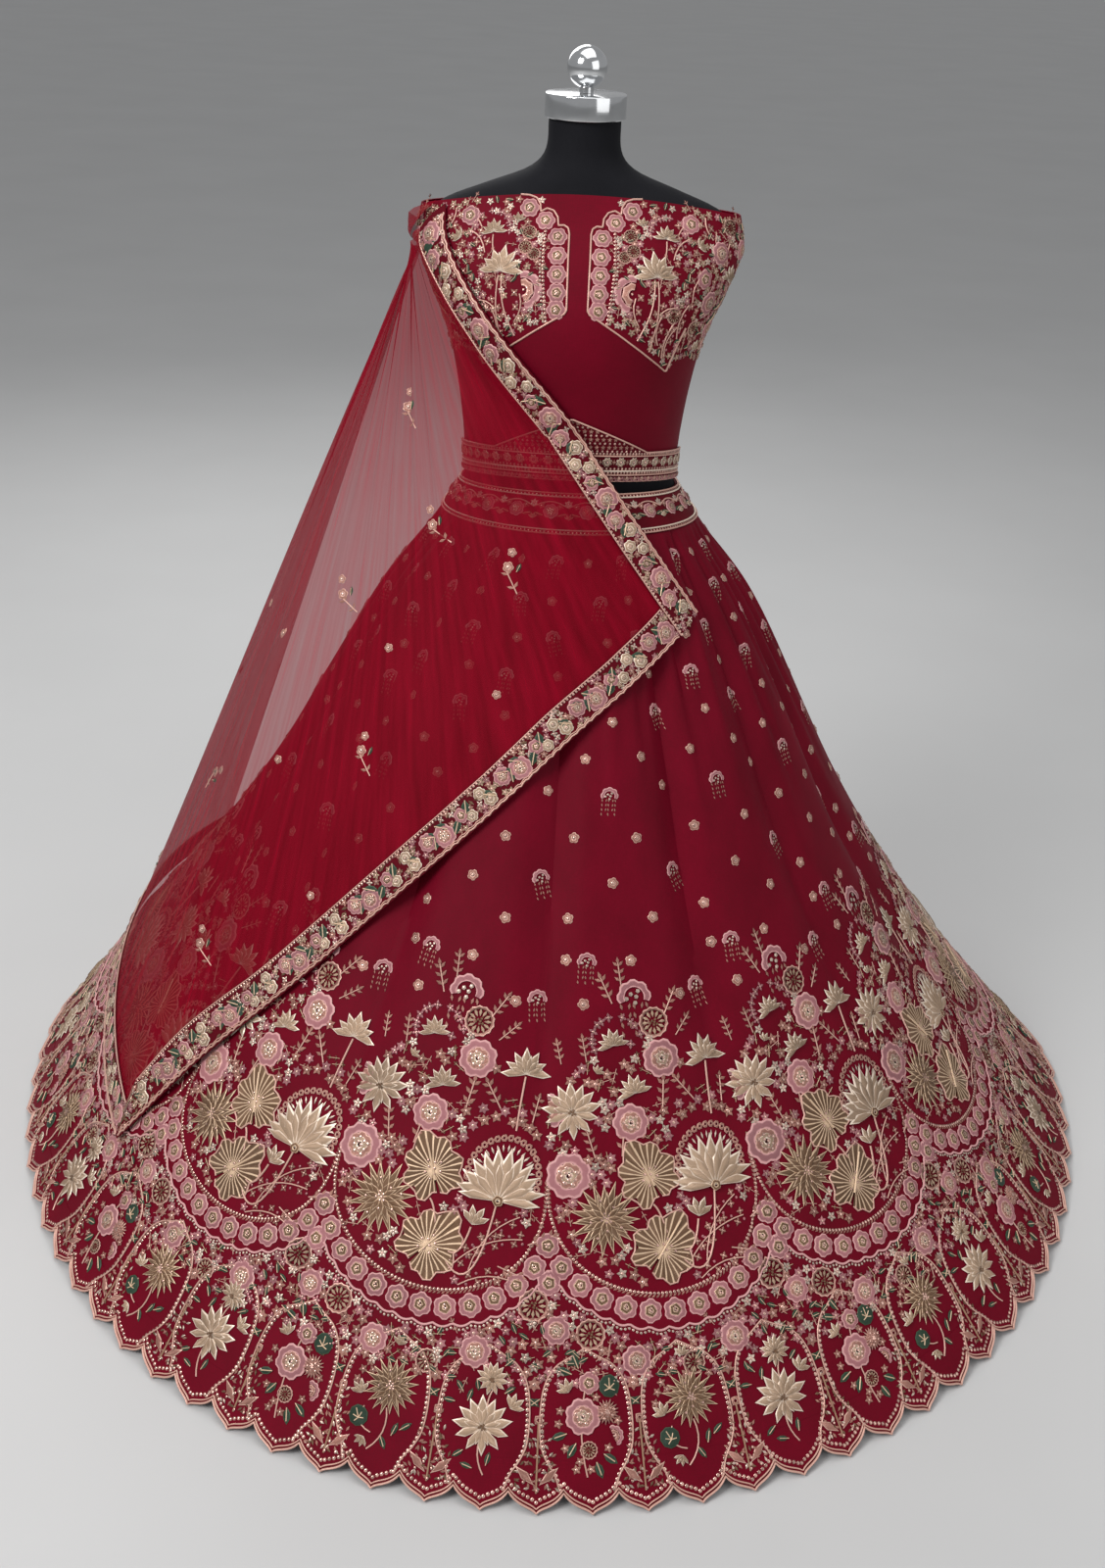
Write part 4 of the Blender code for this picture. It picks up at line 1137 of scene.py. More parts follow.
def greenLeaf(length, width=0.42):
    motif = petal(length, length * width, 0.0014, "green", 0.5, core=0.7)
    rib = stem([(0.0, length * 0.02), (0.0, length * 0.80)], length * 0.07, 0.0008, "gold")
    return motif.sew(rib, lift=0.0013)


def roundLeaf(radius):
    angles = np.linspace(0, 2 * math.pi, 10)[:-1]
    outline = [(radius * 0.96 * math.cos(a), radius * math.sin(a)) for a in angles]
    motif = pad(outline, 0.0014, "green", 0.86, 1.0)
    for degrees, length in ((0, 0.9), (48, 0.6), (-48, 0.6), (110, 0.5), (-110, 0.5)):
        turn = math.radians(degrees)
        tip = (-math.sin(turn) * length * radius, math.cos(turn) * length * radius - radius * 0.2)
        motif.sew(stem([(0.0, -radius * 0.2), tip], radius * 0.10, 0.0007, "gold"), lift=0.0015)
    return motif


def sprig(length, pairs=3, finish="rose"):
    # a small stem with pairs of coiled leaves
    motif = stem([(0.0, 0.0), (0.0, length)], length * 0.05, 0.0007, finish)
    for i in range(pairs):
        y = length * (0.25 + 0.6 * i / max(pairs - 1, 1))
        for side in (-1, 1):
            motif.sew(seed(length * 0.30, length * 0.13, 0.0010, finish), 0.0, y, side * 0.85)
    return motif.sew(seed(length * 0.32, length * 0.14, 0.0010, finish), 0.0, length * 0.92)


def berrySpray(length):
    count = max(int(length / 0.011), 4)
    path = bow((0, 0), (0, length), 0.14, count + 1)
    motif = stem(path, 0.0016, 0.0009, "rose")
    for i, (x, y) in enumerate(path[1:]):
        side = 1 if i % 2 else -1
        motif.sew(blossom(0.0052, 4), x + side * 0.006, y, side * 0.6)
        motif.sew(bead(0.0018, "berry"), x - side * 0.0045, y - 0.002)
    return motif


def bunch(radius):
    # a cloud of berries over a lotus
    motif = Motif()
    for i in range(12):
        angle = math.radians(-20 + 220 * (i * 0.618 % 1.0))
        r = radius * (0.62 + 0.42 * (i * 0.381 % 1.0))
        motif.sew(blossom(radius * 0.17, 4, "berry" if i % 3 else "pink"), r * math.cos(angle),
                  r * math.sin(angle), angle)
    return motif.sew(openLotus(radius * 1.15), y=-radius * 0.10)


def hangingRose(size):
    # a half rose with rows of hanging beads
    motif = rosette(size * 0.42, 5, 0.0015, "pink", 0.55, 0.12, 3, -0.35, math.pi + 0.7)
    motif.sew(cluster(size * 0.20, 5, size * 0.055, "bead"), lift=0.0008)
    for column in range(5):
        x = (column - 2) * size * 0.15
        for row in range(4 - abs(column - 2) % 2):
            y = -size * (0.20 + 0.21 * row)
            drop = seed(size * 0.16, size * 0.07, 0.0008, "rose")
            motif.sew(drop, x, y - size * 0.08, 0.25 * (-1) ** column)
    return motif


def smallButi(size):
    motif = rosette(size * 0.42, 5, 0.0012, "rose", 0.35, 0.22, 3)
    return motif.sew(bead(size * 0.14, "sequin", 6), lift=0.0008)


def filler(width, height, seedNumber):
    # dense zardozi coils in a peaked triangle, with a corded spine
    chance = np.random.default_rng(seedNumber)
    motif = stem([(0.0, 0.0), (0.0, height * 0.88)], 0.0022, 0.0012, "dark")
    motif.sew(rosette(width * 0.10, 4, 0.0012, "rose", 0.35, 0.2, 2), y=height * 0.90)
    for row in range(9):
        y = height * (0.04 + 0.80 * row / 8)
        half = width / 2 * (1 - (y / height) ** 1.2)
        number = max(int(half / 0.0046), 1)
        for column in range(-number, number + 1):
            x = half * column / (number + 0.4) + chance.uniform(-0.001, 0.001)
            kind = ("rose", "gold", "bead", "rose")[chance.integers(4)]
            motif.sew(seed(0.0072, 0.0032, 0.0015, kind), x, y + chance.uniform(-0.001, 0.001),
                      chance.uniform(-1.5, 1.5))
    for side in (-1, 1):
        leaf = petal(height * 0.34, width * 0.16, 0.0018, "rose", steps=1)
        motif.sew(leaf, side * width * 0.05, height * 0.10, -side * 0.85)
    return motif.sew(cluster(width * 0.30, 6, 0.0017, "sequin"), y=height * 0.16, lift=0.0012)


def sewAll(motif, small, places):
    # the same small motif at each place: x, y, turn
    for x, y, turn in places:
        motif.sew(small, x, y, turn)
    return motif


def lotusMedallion():
    motif = stem(bow((0.006, -0.062), (0.0, -0.020), 0.12), 0.0018, 0.0009, "rose")
    motif.sew(stem(bow((0.004, 0.004), (0.010, 0.032), 0.1), 0.0018, 0.0009, "rose"))
    motif.sew(starLotus(0.072), 0.0, -0.012, 0.08)
    motif.sew(starLotus(0.042), 0.006, 0.040, -0.25, lift=0.0006)
    motif.sew(budLotus(0.036), 0.030, 0.010, -0.7)
    leaves = ((-0.026, 0.024, 0.7), (-0.034, 0.012, 1.5), (-0.020, 0.014, -0.3), (0.022, 0.026, -1.0),
              (-0.018, -0.038, 2.2), (-0.006, -0.056, 1.3), (0.008, -0.052, -0.2), (0.020, 0.056, -0.9))
    return sewAll(motif, greenLeaf(0.015), leaves)


def roseMedallion():
    motif = stem(bow((0.0, -0.060), (0.004, 0.050), 0.07, 9), 0.0018, 0.0009, "rose")
    motif.sew(roseFlower(0.021), -0.004, 0.004, lift=0.0006)
    motif.sew(rimFlower(0.013), 0.004, 0.040)
    motif.sew(budLotus(0.032), -0.020, 0.030, 0.5)
    motif.sew(burst(0.014, "rose"), 0.024, 0.008, lift=0.0004)
    motif.sew(roundLeaf(0.013), 0.028, 0.036)
    motif.sew(halfFan(0.012), 0.030, -0.018, -1.2)
    motif.sew(buttonFlower(0.010), 0.002, -0.032)
    leaves = ((-0.022, -0.014, 1.9), (-0.012, -0.024, 2.6), (0.018, -0.036, -2.2), (0.010, -0.044, -2.8),
              (-0.008, 0.056, 0.4), (-0.016, 0.050, 1.2))
    flowers = ((-0.030, 0.010), (-0.032, -0.004), (-0.024, -0.030), (0.012, 0.024), (0.036, -0.002),
               (-0.008, -0.044), (0.004, -0.052), (-0.012, -0.052), (0.024, -0.030), (0.014, 0.054))
    sewAll(motif, greenLeaf(0.019, 0.48), leaves)
    return sewAll(motif, blossom(0.0056, 5), [(x, y, x * 90) for x, y in flowers])


def burstMedallion():
    motif = stem(bow((-0.006, -0.058), (0.006, -0.010), -0.16), 0.0018, 0.0009, "rose")
    motif.sew(stem(bow((-0.006, -0.040), (-0.020, -0.014), 0.3), 0.0016, 0.0009, "rose"))
    motif.sew(burst(0.033), 0.006, 0.014, lift=0.0004)
    motif.sew(budLotus(0.032), -0.027, -0.002, 0.5)
    motif.sew(budLotus(0.026), 0.004, 0.060, -0.2)
    motif.sew(budLotus(0.024), -0.012, -0.046, 2.6)
    motif.sew(roundLeaf(0.012), -0.024, -0.026, 0.5)
    leaves = (0.006, -0.040, -2.6), (0.018, -0.038, -0.3), (0.026, -0.030, -0.9), (0.020, 0.054, -0.8)
    flowers = ((-0.026, 0.034), (-0.016, 0.044), (-0.032, 0.024), (-0.020, 0.026), (-0.008, 0.052),
               (0.024, 0.050), (0.034, 0.036), (-0.036, 0.012))
    sewAll(motif, greenLeaf(0.016), leaves)
    return sewAll(motif, blossom(0.0058, 5), [(x, y, y * 80) for x, y in flowers])


class Needlework:
    # gathers motifs and cords on one cloth, and makes one mesh of them
    def __init__(self, name, cloth, seedNumber):
        self.name, self.cloth, self.chance = name, cloth, np.random.default_rng(seedNumber)
        self.points, self.flat, self.rims, self.tones = [], [], [], []
        self.loops, self.totals, self.kinds, self.count = [], [], [], 0

    def store(self, points, flat, rims, tones, loops, totals, kinds):
        self.points.append(points)
        self.flat.append(flat)
        self.rims.append(rims)
        self.tones.append(tones)
        self.loops.append(loops + self.count)
        self.totals.append(totals)
        self.kinds.append(kinds)
        self.count += len(points)

    def sew(self, motif, us, vs, turn=0.0, size=1.0, lift=0.0005):
        us, vs = np.atleast_1d(np.asarray(us, float)), np.atleast_1d(np.asarray(vs, float))
        turn, size = np.broadcast_to(turn, us.shape), np.broadcast_to(size, us.shape)
        points, marks = np.array(motif.points, float), np.array(motif.marks, float)
        uRight, uUp, vUp = (step[:, None] for step in self.cloth.flatSteps(us, vs))
        c, s = (np.cos(turn) * size)[:, None], (np.sin(turn) * size)[:, None]
        x = points[:, 0] * c - points[:, 1] * s
        y = points[:, 0] * s + points[:, 1] * c
        u, v = us[:, None] + x * uRight + y * uUp, vs[:, None] + y * vUp
        placed = self.cloth.lifted(u, v, points[:, 2] * size[:, None] + lift)
        copies, count = len(us), len(points)
        corners = np.concatenate([np.array(face) for face in motif.faces])
        totals = np.array([len(face) for face in motif.faces])
        loops = (corners[None] + np.arange(copies)[:, None] * count).ravel()
        tones = np.repeat(self.chance.uniform(0.0, 1.0, copies), count)
        petals = self.chance.uniform(-0.25, 0.25, len(tones) // 8 + 1).repeat(8)[:len(tones)]
        self.store(placed.reshape(-1, 3), np.tile(marks[:, :2], (copies, 1)), np.tile(marks[:, 2], copies),
                   tones + petals, loops, np.tile(totals, copies), np.tile(motif.kinds, copies))

    def cord(self, us, vs, width, height, finish, closed=False, lift=0.0004):
        # a corded line along a path on the cloth
        us, vs = np.asarray(us, float), np.asarray(vs, float)
        path, normal = self.cloth.lifted(us, vs, 0 * us + lift), self.cloth.normal(us, vs)
        if closed:
            run = np.roll(path, -1, axis=0) - np.roll(path, 1, axis=0)
        else:
            run = np.gradient(path, axis=0)
        run /= np.linalg.norm(run, axis=1, keepdims=True)
        side = np.cross(normal, run)
        shape = ((-0.5, 0.0), (-0.24, 1.0), (0.24, 1.0), (0.5, 0.0))
        points = np.stack([path + side * across * width + normal * up * height for across, up in shape], 1)
        count = len(path)
        i = np.arange(count if closed else count - 1)
        j = (i + 1) % count
        near, far = 4 * i, 4 * j
        faces = np.concatenate([np.stack([near + k, far + k, far + k + 1, near + k + 1], -1)
                                for k in range(3)])
        travelled = np.arange(count)[:, None] * width + np.zeros((1, 4))
        flat = np.stack([travelled, np.tile([-0.5, -0.2, 0.2, 0.5], (count, 1)) * width], -1).reshape(-1, 2)
        rims, tones = np.full(count * 4, 0.95), np.full(count * 4, 0.5)
        self.store(points.reshape(-1, 3), flat, rims, tones, faces.ravel(),
                   np.full(len(faces), 4), np.full(len(faces), finishNames.index(finish)))

    def spaced(self, us, vs, pitch, closed=False):
        # places at an even pitch along a path, with the path's direction on the flat cloth
        us, vs = np.asarray(us, float), np.asarray(vs, float)
        points = self.cloth.form(us, vs)
        travelled = np.concatenate([[0.0], np.cumsum(np.linalg.norm(np.diff(points, axis=0), axis=1))])
        number = max(int(round(travelled[-1] / pitch)), 1)
        at = np.linspace(0.0, travelled[-1], number + 1)
        at = at[:-1] if closed else at
        u, v = np.interp(at, travelled, us), np.interp(at, travelled, vs)
        ahead = np.interp(at + pitch * 0.2, travelled, us), np.interp(at + pitch * 0.2, travelled, vs)
        behind = np.interp(at - pitch * 0.2, travelled, us), np.interp(at - pitch * 0.2, travelled, vs)
        uRight, uUp, vUp = self.cloth.flatSteps(u, v)
        y = (ahead[1] - behind[1]) / vUp
        x = (ahead[0] - behind[0] - y * uUp) / uRight
        return u, v, np.arctan2(y, x)

    def beads(self, us, vs, pitch, motif, closed=False, turn=0.0):
        u, v, along = self.spaced(us, vs, pitch, closed)
        self.sew(motif, u, v, along + turn)

    def finish(self):
        loops, totals = np.concatenate(self.loops), np.concatenate(self.totals)
        tones = np.clip(np.concatenate(self.tones), 0.0, 1.0)
        thing = meshObject(self.name, np.concatenate(self.points), loops, totals, np.concatenate(self.flat),
                           np.concatenate(self.kinds), list(finishes.values()),
                           dict(rim=np.concatenate(self.rims), tone=tones))
        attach(thing, "root")
        print(self.name, "triangles:", int(np.sum(totals - 2)))


def scatter(cloth, uRange, vRange, taken, spacing, number, seedNumber, keep=None):
    # places that stay clear of what is sewn already and of each other
    chance = np.random.default_rng(seedNumber)
    us, vs = chance.uniform(*uRange, number), chance.uniform(*vRange, number)
    if keep is not None:
        inside = keep(us, vs)
        us, vs = us[inside], vs[inside]
    spots = cloth.form(us, vs)
    centres = cloth.form(np.array([t[0] for t in taken]), np.array([t[1] for t in taken]))
    radii = np.array([t[2] for t in taken])
    apart = np.linalg.norm(spots[:, None] - centres[None], axis=-1)
    clear = np.all(apart > radii[None] + spacing * 0.45, axis=1)
    us, vs, spots = us[clear], vs[clear], spots[clear]
    chosen = []
    for index, spot in enumerate(spots):
        if all(np.linalg.norm(spot - spots[other]) > spacing for other in chosen):
            chosen.append(index)
    return us[chosen], vs[chosen]


# Needlework of the skirt

borderCut = dict(bowlMiddle=0.57, bowlHalf=0.50, bowlTop=0.722, bowlDrop=0.105,
                 medallionDown=0.926, lift=0.0010, fieldTop=0.555, fieldEnd=0.898,
                 meanRound=3.6, meanSlant=1.18)

# One panel's flowers: across the panel from its left seam, down the slant, degrees, size
panelFlowers = tableOf(
    "motif at down turn size",
    ("bunch", 0.390, 0.588, 12, 0.036), ("hangingRose", 0.530, 0.543, 0, 0.052),
    ("buttonFlower", 0.635, 0.571, 0, 0.019), ("roseFlower", 0.660, 0.608, 0, 0.024),
    ("openLotus", 0.925, 0.622, -4, 0.062), ("halfFan", 1.060, 0.656, -78, 0.021),
    ("openLotus", 0.500, 0.640, 14, 0.046), ("roseFlower", 0.470, 0.668, 20, 0.023),
    ("starLotus", 0.175, 0.656, 6, 0.076), ("roseFlower", 0.165, 0.716, 0, 0.028),
    ("fanLotus", 0.850, 0.742, -6, 0.112), ("goldLeaf", 0.540, 0.722, 24, 0.078),
    ("goldLeaf", 0.560, 0.790, -40, 0.082), ("burst", 0.325, 0.757, 0, 0.043),
    ("budLotus", 0.745, 0.766, -16, 0.046), ("budLotus", 0.300, 0.618, -30, 0.022),
    ("buttonFlower", 0.220, 0.856, 0, 0.018), ("buttonFlower", 1.005, 0.832, 0, 0.019),
    ("roseFlower", 0.385, 0.880, 0, 0.018), ("roseFlower", 0.780, 0.874, 30, 0.019),
    ("rimFlower", 0.070, 0.812, 0, 0.015), ("roseFlower", 0.090, 0.852, 0, 0.017),
    ("buttonFlower", 0.600, 0.888, 0, 0.014))

# Sprays of berries and coiled leaves: degrees from upright, length
panelSprays = tableOf(
    "motif at down turn size",
    ("berrySpray", 0.640, 0.812, -62, 0.100), ("berrySpray", 0.740, 0.806, -40, 0.085),
    ("berrySpray", 0.700, 0.820, -84, 0.070), ("sprig", 0.395, 0.548, 22, 0.034),
    ("sprig", 0.455, 0.532, 4, 0.030), ("sprig", 0.700, 0.566, -34, 0.032),
    ("sprig", 0.760, 0.588, -50, 0.028), ("sprig", 0.245, 0.606, 10, 0.028),
    ("sprig", 0.110, 0.610, 18, 0.026), ("sprig", 0.815, 0.655, 30, 0.034),
    ("sprig", 0.980, 0.668, -24, 0.030), ("sprig", 0.640, 0.660, -10, 0.036),
    ("sprig", 0.290, 0.700, 16, 0.032), ("sprig", 0.420, 0.700, -8, 0.036),
    ("sprig", 0.985, 0.780, -70, 0.034), ("sprig", 0.860, 0.800, -110, 0.030))

panelStems = tableOf(
    "start end lean",
    ((0.845, 0.744), (0.640, 0.800), -0.16), ((0.740, 0.768), (0.650, 0.792), -0.10),
    ((0.925, 0.624), (0.905, 0.676), 0.04), ((0.545, 0.748), (0.590, 0.776), -0.10))

# Where the small flowers over the field sit in a panel
butiRows = tableOf(
    "down large small",
    (0.075, 0.83, (0.30,)), (0.118, 0.40, (0.85,)), (0.160, 0.90, (0.45,)), (0.203, 0.42, (0.95,)),
    (0.246, 0.93, (0.50,)), (0.288, None, (0.20, 0.70)), (0.327, 0.42, (0.92,)),
    (0.375, None, (0.17, 0.65)), (0.422, 0.94, (0.40,)), (0.462, None, (0.12, 0.70)),
    (0.505, 0.22, (0.55, 1.14)), (0.548, 0.98, (0.20, 0.80)))

motifMakers = dict(
    bunch=bunch, hangingRose=hangingRose, openLotus=openLotus, buttonFlower=buttonFlower,
    roseFlower=roseFlower, halfFan=halfFan, starLotus=starLotus, fanLotus=fanLotus, goldLeaf=goldLeaf,
    burst=burst, budLotus=budLotus, rimFlower=rimFlower, sprig=sprig, berrySpray=berrySpray)
panelSteps = np.arange(panelCount)


def bowlLine(spread, drop):
    # the U-shaped rim that hangs in a panel between two seams
    t = np.linspace(0.0, math.pi, 160)
    at = borderCut["bowlMiddle"] - (borderCut["bowlHalf"] + spread) * np.cos(t)
    down = borderCut["bowlTop"] + (borderCut["bowlDrop"] + drop) * np.sin(t) ** 0.85
    inside = np.abs(at - borderCut["bowlMiddle"]) <= borderCut["bowlHalf"] + 0.001
    return at[inside] / panelCount, down[inside]


def insideField(u, v):
    # the part of a panel that the dense border covers
    at = u * panelCount
    peak = 0.565 + 0.042 * (1 - np.cos(2 * math.pi * (at - 0.48)))
    return v > peak


def sewPanels():
    work = Needlework("lehengaFlowers", skirtCloth, 3)
    fill = Needlework("lehengaBlossoms", skirtCloth, 5)
    taken = []
    for row in panelFlowers + panelSprays:
        motif = motifMakers[row["motif"]](row["size"])
        turn, turns = math.radians(row["turn"]), (panelSteps + row["at"]) / panelCount
        work.sew(motif, turns, np.full(panelCount, row["down"]), turn, lift=borderCut["lift"])
        span = max(abs(x) + abs(y) for x, y, z in motif.points) * 0.72
        middle = np.mean([point[:2] for point in motif.points], axis=0)
        c, s = math.cos(turn), math.sin(turn)
        x, y = c * middle[0] - s * middle[1], s * middle[0] + c * middle[1]
        radius = max(math.hypot(px - middle[0], py - middle[1]) for px, py, pz in motif.points) * 0.80
        at, down = x / borderCut["meanRound"], row["down"] - y / borderCut["meanSlant"]
        for step in (-1, 0, 1):
            taken.append((row["at"] / panelCount + step / panelCount + at, down, min(radius, span)))
    for row in panelStems:
        path = bow(row["start"], row["end"], row["lean"], 12)
        for step in panelSteps:
            work.cord((path[:, 0] + step) / panelCount, path[:, 1], 0.0024, 0.0012, "rose",
                      lift=borderCut["lift"])
    rim, ring, edge = bowlLine(0.0, 0.0), bowlLine(0.052, 0.0150), bowlLine(0.095, 0.0285)
    flower, dot, pearl = rimFlower(0.0145), bead(0.0020, "sequin"), bead(0.0017, "bead", 5)
    coil = seed(0.0062, 0.0026, 0.0012, "rose")
    for step in panelSteps / panelCount:
        fill.beads(rim[0] + step, rim[1], 0.0048, dot)
        fill.beads(rim[0] + step, rim[1] + 0.0040, 0.0052, coil, turn=-0.9)
        fill.beads(ring[0] + step, ring[1], 0.0288, flower, turn=math.pi)
        wave = 0.0030 * np.abs(np.sin(np.linspace(0.0, 15 * math.pi, len(edge[0]))))
        fill.cord(edge[0] + step, edge[1] + wave, 0.0026, 0.0014, "pink", lift=borderCut["lift"])
        fill.beads(edge[0] + step, edge[1] + wave + 0.0032, 0.0050, pearl)
    for line in (rim, ring, edge):
        radius = 0.014 if line is ring else 0.008
        for u, v in zip(line[0][::6], line[1][::6]):
            taken += [(u + step / panelCount, v, radius) for step in (-1, 0, 1)]
    downs = borderCut["fieldTop"], borderCut["fieldEnd"]
    places = scatter(skirtCloth, (0.0, 1 / panelCount), downs, taken, 0.0088, 11000, 11, insideField)
    sewFill(fill, places, panelSteps / panelCount)
    return work, fill


def sewFill(fill, places, steps):
    # small blossoms, coiled leaves and berries between the flowers, green leaves only low down
    kinds = [blossom(0.0074, 5, "rose"), blossom(0.0066, 5, "bead"), blossom(0.0070, 6, "pink"),
             sprig(0.016, 2), blossom(0.0062, 5, "berry"), sprig(0.014, 2, "gold"), greenLeaf(0.013, 0.46)]
    chance = np.random.default_rng(len(places[0]))
    for index, (u, v) in enumerate(zip(*places)):
        kind = kinds[index % len(kinds)]
        if kind is kinds[-1] and v < 0.82:
            kind = kinds[0]
        turn = chance.uniform(-math.pi, math.pi)
        fill.sew(kind, u + steps, np.full(len(steps), v), turn, lift=borderCut["lift"])


cartouche = tableOf(
    "y half",
    (-0.0740, 0.0290), (-0.0600, 0.0335), (-0.0440, 0.0430), (-0.0270, 0.0490), (0.0080, 0.0500),
    (0.0380, 0.0450), (0.0580, 0.0320), (0.0680, 0.0150), (0.0770, 0.0000))


def sewMedallions():
    # the row of cartouches along the hem, three designs in turn, with peaked fillers between
    work = Needlework("lehengaMedallions", skirtCloth, 7)
    lift, middleDown, scallops = borderCut["lift"], borderCut["medallionDown"], skirtCut["scallops"]
    tips = np.arange(scallops)
    odd = tips[1::2]
    for index, maker in enumerate((roseMedallion, burstMedallion, lotusMedallion)):
        chosen = odd[index::3] / scallops
        work.sew(maker(), chosen, np.full(len(chosen), middleDown), lift=lift)
    y = np.linspace(cartouche[0]["y"], cartouche[-1]["y"], 60)
    half = np.maximum(readTable(cartouche, "y", "half", y), 0.0)
    x = np.concatenate([half, -half[::-1]])
    y = np.concatenate([y, y[::-1]])
    for turn in odd / scallops:
        middle = np.full(1, turn), np.full(1, middleDown)
        uRight, uUp, vUp = (step[0] for step in skirtCloth.flatSteps(*middle))
        u, v = turn + x * uRight + y * uUp, middleDown + y * vUp
        work.beads(u, v, 0.0056, bead(0.0024, "sequin", 6))
        wider = turn + (x * 1.05) * uRight + y * uUp
        work.cord(wider, v - 0.0012, 0.0018, 0.0010, "rose", lift=lift)
    for index, turn in enumerate(tips[::2] / scallops):
        work.sew(filler(0.060, 0.086, index % 4), turn, 0.984, lift=lift)
        work.sew(blossom(0.0085, 6, "rose"), turn, 0.898, lift=lift)
        work.sew(blossom(0.0070, 5, "bead"), turn, 0.884, lift=lift)
        for side in (-1, 1):
            work.sew(greenLeaf(0.015), turn + side * 0.0016, 0.909, side * 2.2, lift=lift)
    return work


def sewHem():
    work = Needlework("lehengaHemCords", skirtCloth, 9)
    steps = skirtCut["scallops"] * 20
    turns = np.arange(steps) / steps
    edge = 1.0 - scallopDepth(turns)
    work.cord(turns, edge - 0.0006, 0.0026, 0.0020, "rose", closed=True, lift=0.0012)
    work.cord(turns, edge - 0.0038, 0.0018, 0.0014, "rose", closed=True, lift=0.0010)
    around = np.append(turns, 1.0)
    work.beads(around, 1.0 - scallopDepth(around) - 0.0088, 0.0056, bead(0.0023, "sequin"), closed=True)
    return work


def sewButis():
    work = Needlework("lehengaButis", skirtCloth, 13)
    large, small = hangingRose(0.029), smallButi(0.0175)
    for index, row in enumerate(butiRows):
        sway = 0.03 * math.sin(index * 2.1)
        down = np.full(panelCount, row["down"])
        if row["large"] is not None:
            turns = (panelSteps + row["large"] + sway) / panelCount
            work.sew(large, turns, down, 0.05 * math.sin(index), 0.75 + 0.5 * row["down"])
        for at in row["small"]:
            turns = (panelSteps + at - sway) / panelCount
            work.sew(small, turns, down, index * 0.7, 0.80 + 0.4 * row["down"])
    return work


def sewWaistband():
    work = Needlework("waistbandFlowers", waistCloth, 15)
    count, around = 20, np.linspace(0.0, 1.0, 241)
    turns = (np.arange(count) + 0.5) / count
    lift = 0.0014
    work.sew(roseFlower(0.0100, 7), turns, np.full(count, 0.0205), 0.0, lift=lift)
    for side in (-1, 1):
        work.sew(greenLeaf(0.013), turns + side * 0.010, np.full(count, 0.0255), -side * 1.3, lift=lift)
        work.sew(blossom(0.0050), turns + side * 0.0135, np.full(count, 0.0150), 0.4, lift=lift)
    work.sew(budLotus(0.015), turns + 0.5 / count, np.full(count, 0.0290), 0.0, lift=lift)
    work.sew(blossom(0.0058, 6, "bead"), turns + 0.5 / count, np.full(count, 0.0125), 0.0, lift=lift)
    wave = 0.0060 * np.abs(np.sin(math.pi * count * around))
    work.cord(around, 0.0165 - wave, 0.0018, 0.0010, "rose", lift=lift)
    for down, finish in ((0.0012, "rose"), (0.0435, "rose"), (0.0050, "cream"), (0.0395, "cream")):
        work.cord(around, np.full(241, down), 0.0020, 0.0014, finish, lift=lift)
    for down in (0.0031, 0.0415):
        work.beads(around, np.full(241, down), 0.0050, bead(0.0017, "sequin"), closed=True)
    return work


# Needlework of the blouse: one side's flowers, mirrored; degrees round, share of the height
blouseFlowers = tableOf(
    "motif at share turn size",
    ("openLotus", 28, 0.760, 4, 0.058), ("bunch", 31, 0.890, -4, 0.029),
    ("halfFan", 20.0, 0.700, 78, 0.023), ("buttonFlower", 17.5, 0.880, 0, 0.009),
    ("buttonFlower", 18.5, 0.835, 0, 0.009), ("buttonFlower", 15.5, 0.815, 0, 0.008),
    ("budLotus", 22, 0.915, 10, 0.022), ("rimFlower", 42, 0.940, 0, 0.012),
    ("budLotus", 45, 0.870, -60, 0.026), ("rimFlower", 51, 0.770, 0, 0.012),
    ("buttonFlower", 40, 0.640, 0, 0.010), ("roseFlower", 58, 0.860, 0, 0.014),
    ("roseFlower", 60, 0.690, 0, 0.015), ("openLotus", 70, 0.775, -10, 0.036),
    ("buttonFlower", 55, 0.600, 0, 0.010), ("roseFlower", 72, 0.600, 0, 0.014),
    ("roseFlower", 79, 0.880, 0, 0.013), ("buttonFlower", 66, 0.950, 0, 0.011),
    ("buttonFlower", 82, 0.700, 0, 0.010), ("budLotus", 64, 0.520, 10, 0.024))
blouseSprays = tableOf(
    "at share turn size",
    (36, 0.535, 4, 0.034), (24.5, 0.600, 10, 0.030), (41, 0.500, -12, 0.034), (46, 0.560, -6, 0.040),
    (48, 0.690, -14, 0.030), (34, 0.820, -40, 0.034), (36, 0.900, -50, 0.030), (33, 0.640, -70, 0.024),
    (64, 0.820, -10, 0.026), (76, 0.500, 6, 0.030), (53, 0.900, 20, 0.026))

blouseStems = tableOf(
    "fromAt fromShare toAt toShare lean",
    (25.5, 0.548, 27.6, 0.748, 2.2), (32.5, 0.510, 29.0, 0.748, 1.6), (29.5, 0.800, 31.0, 0.875, 0.5),
    (40.0, 0.490, 41.5, 0.620, -1.4))

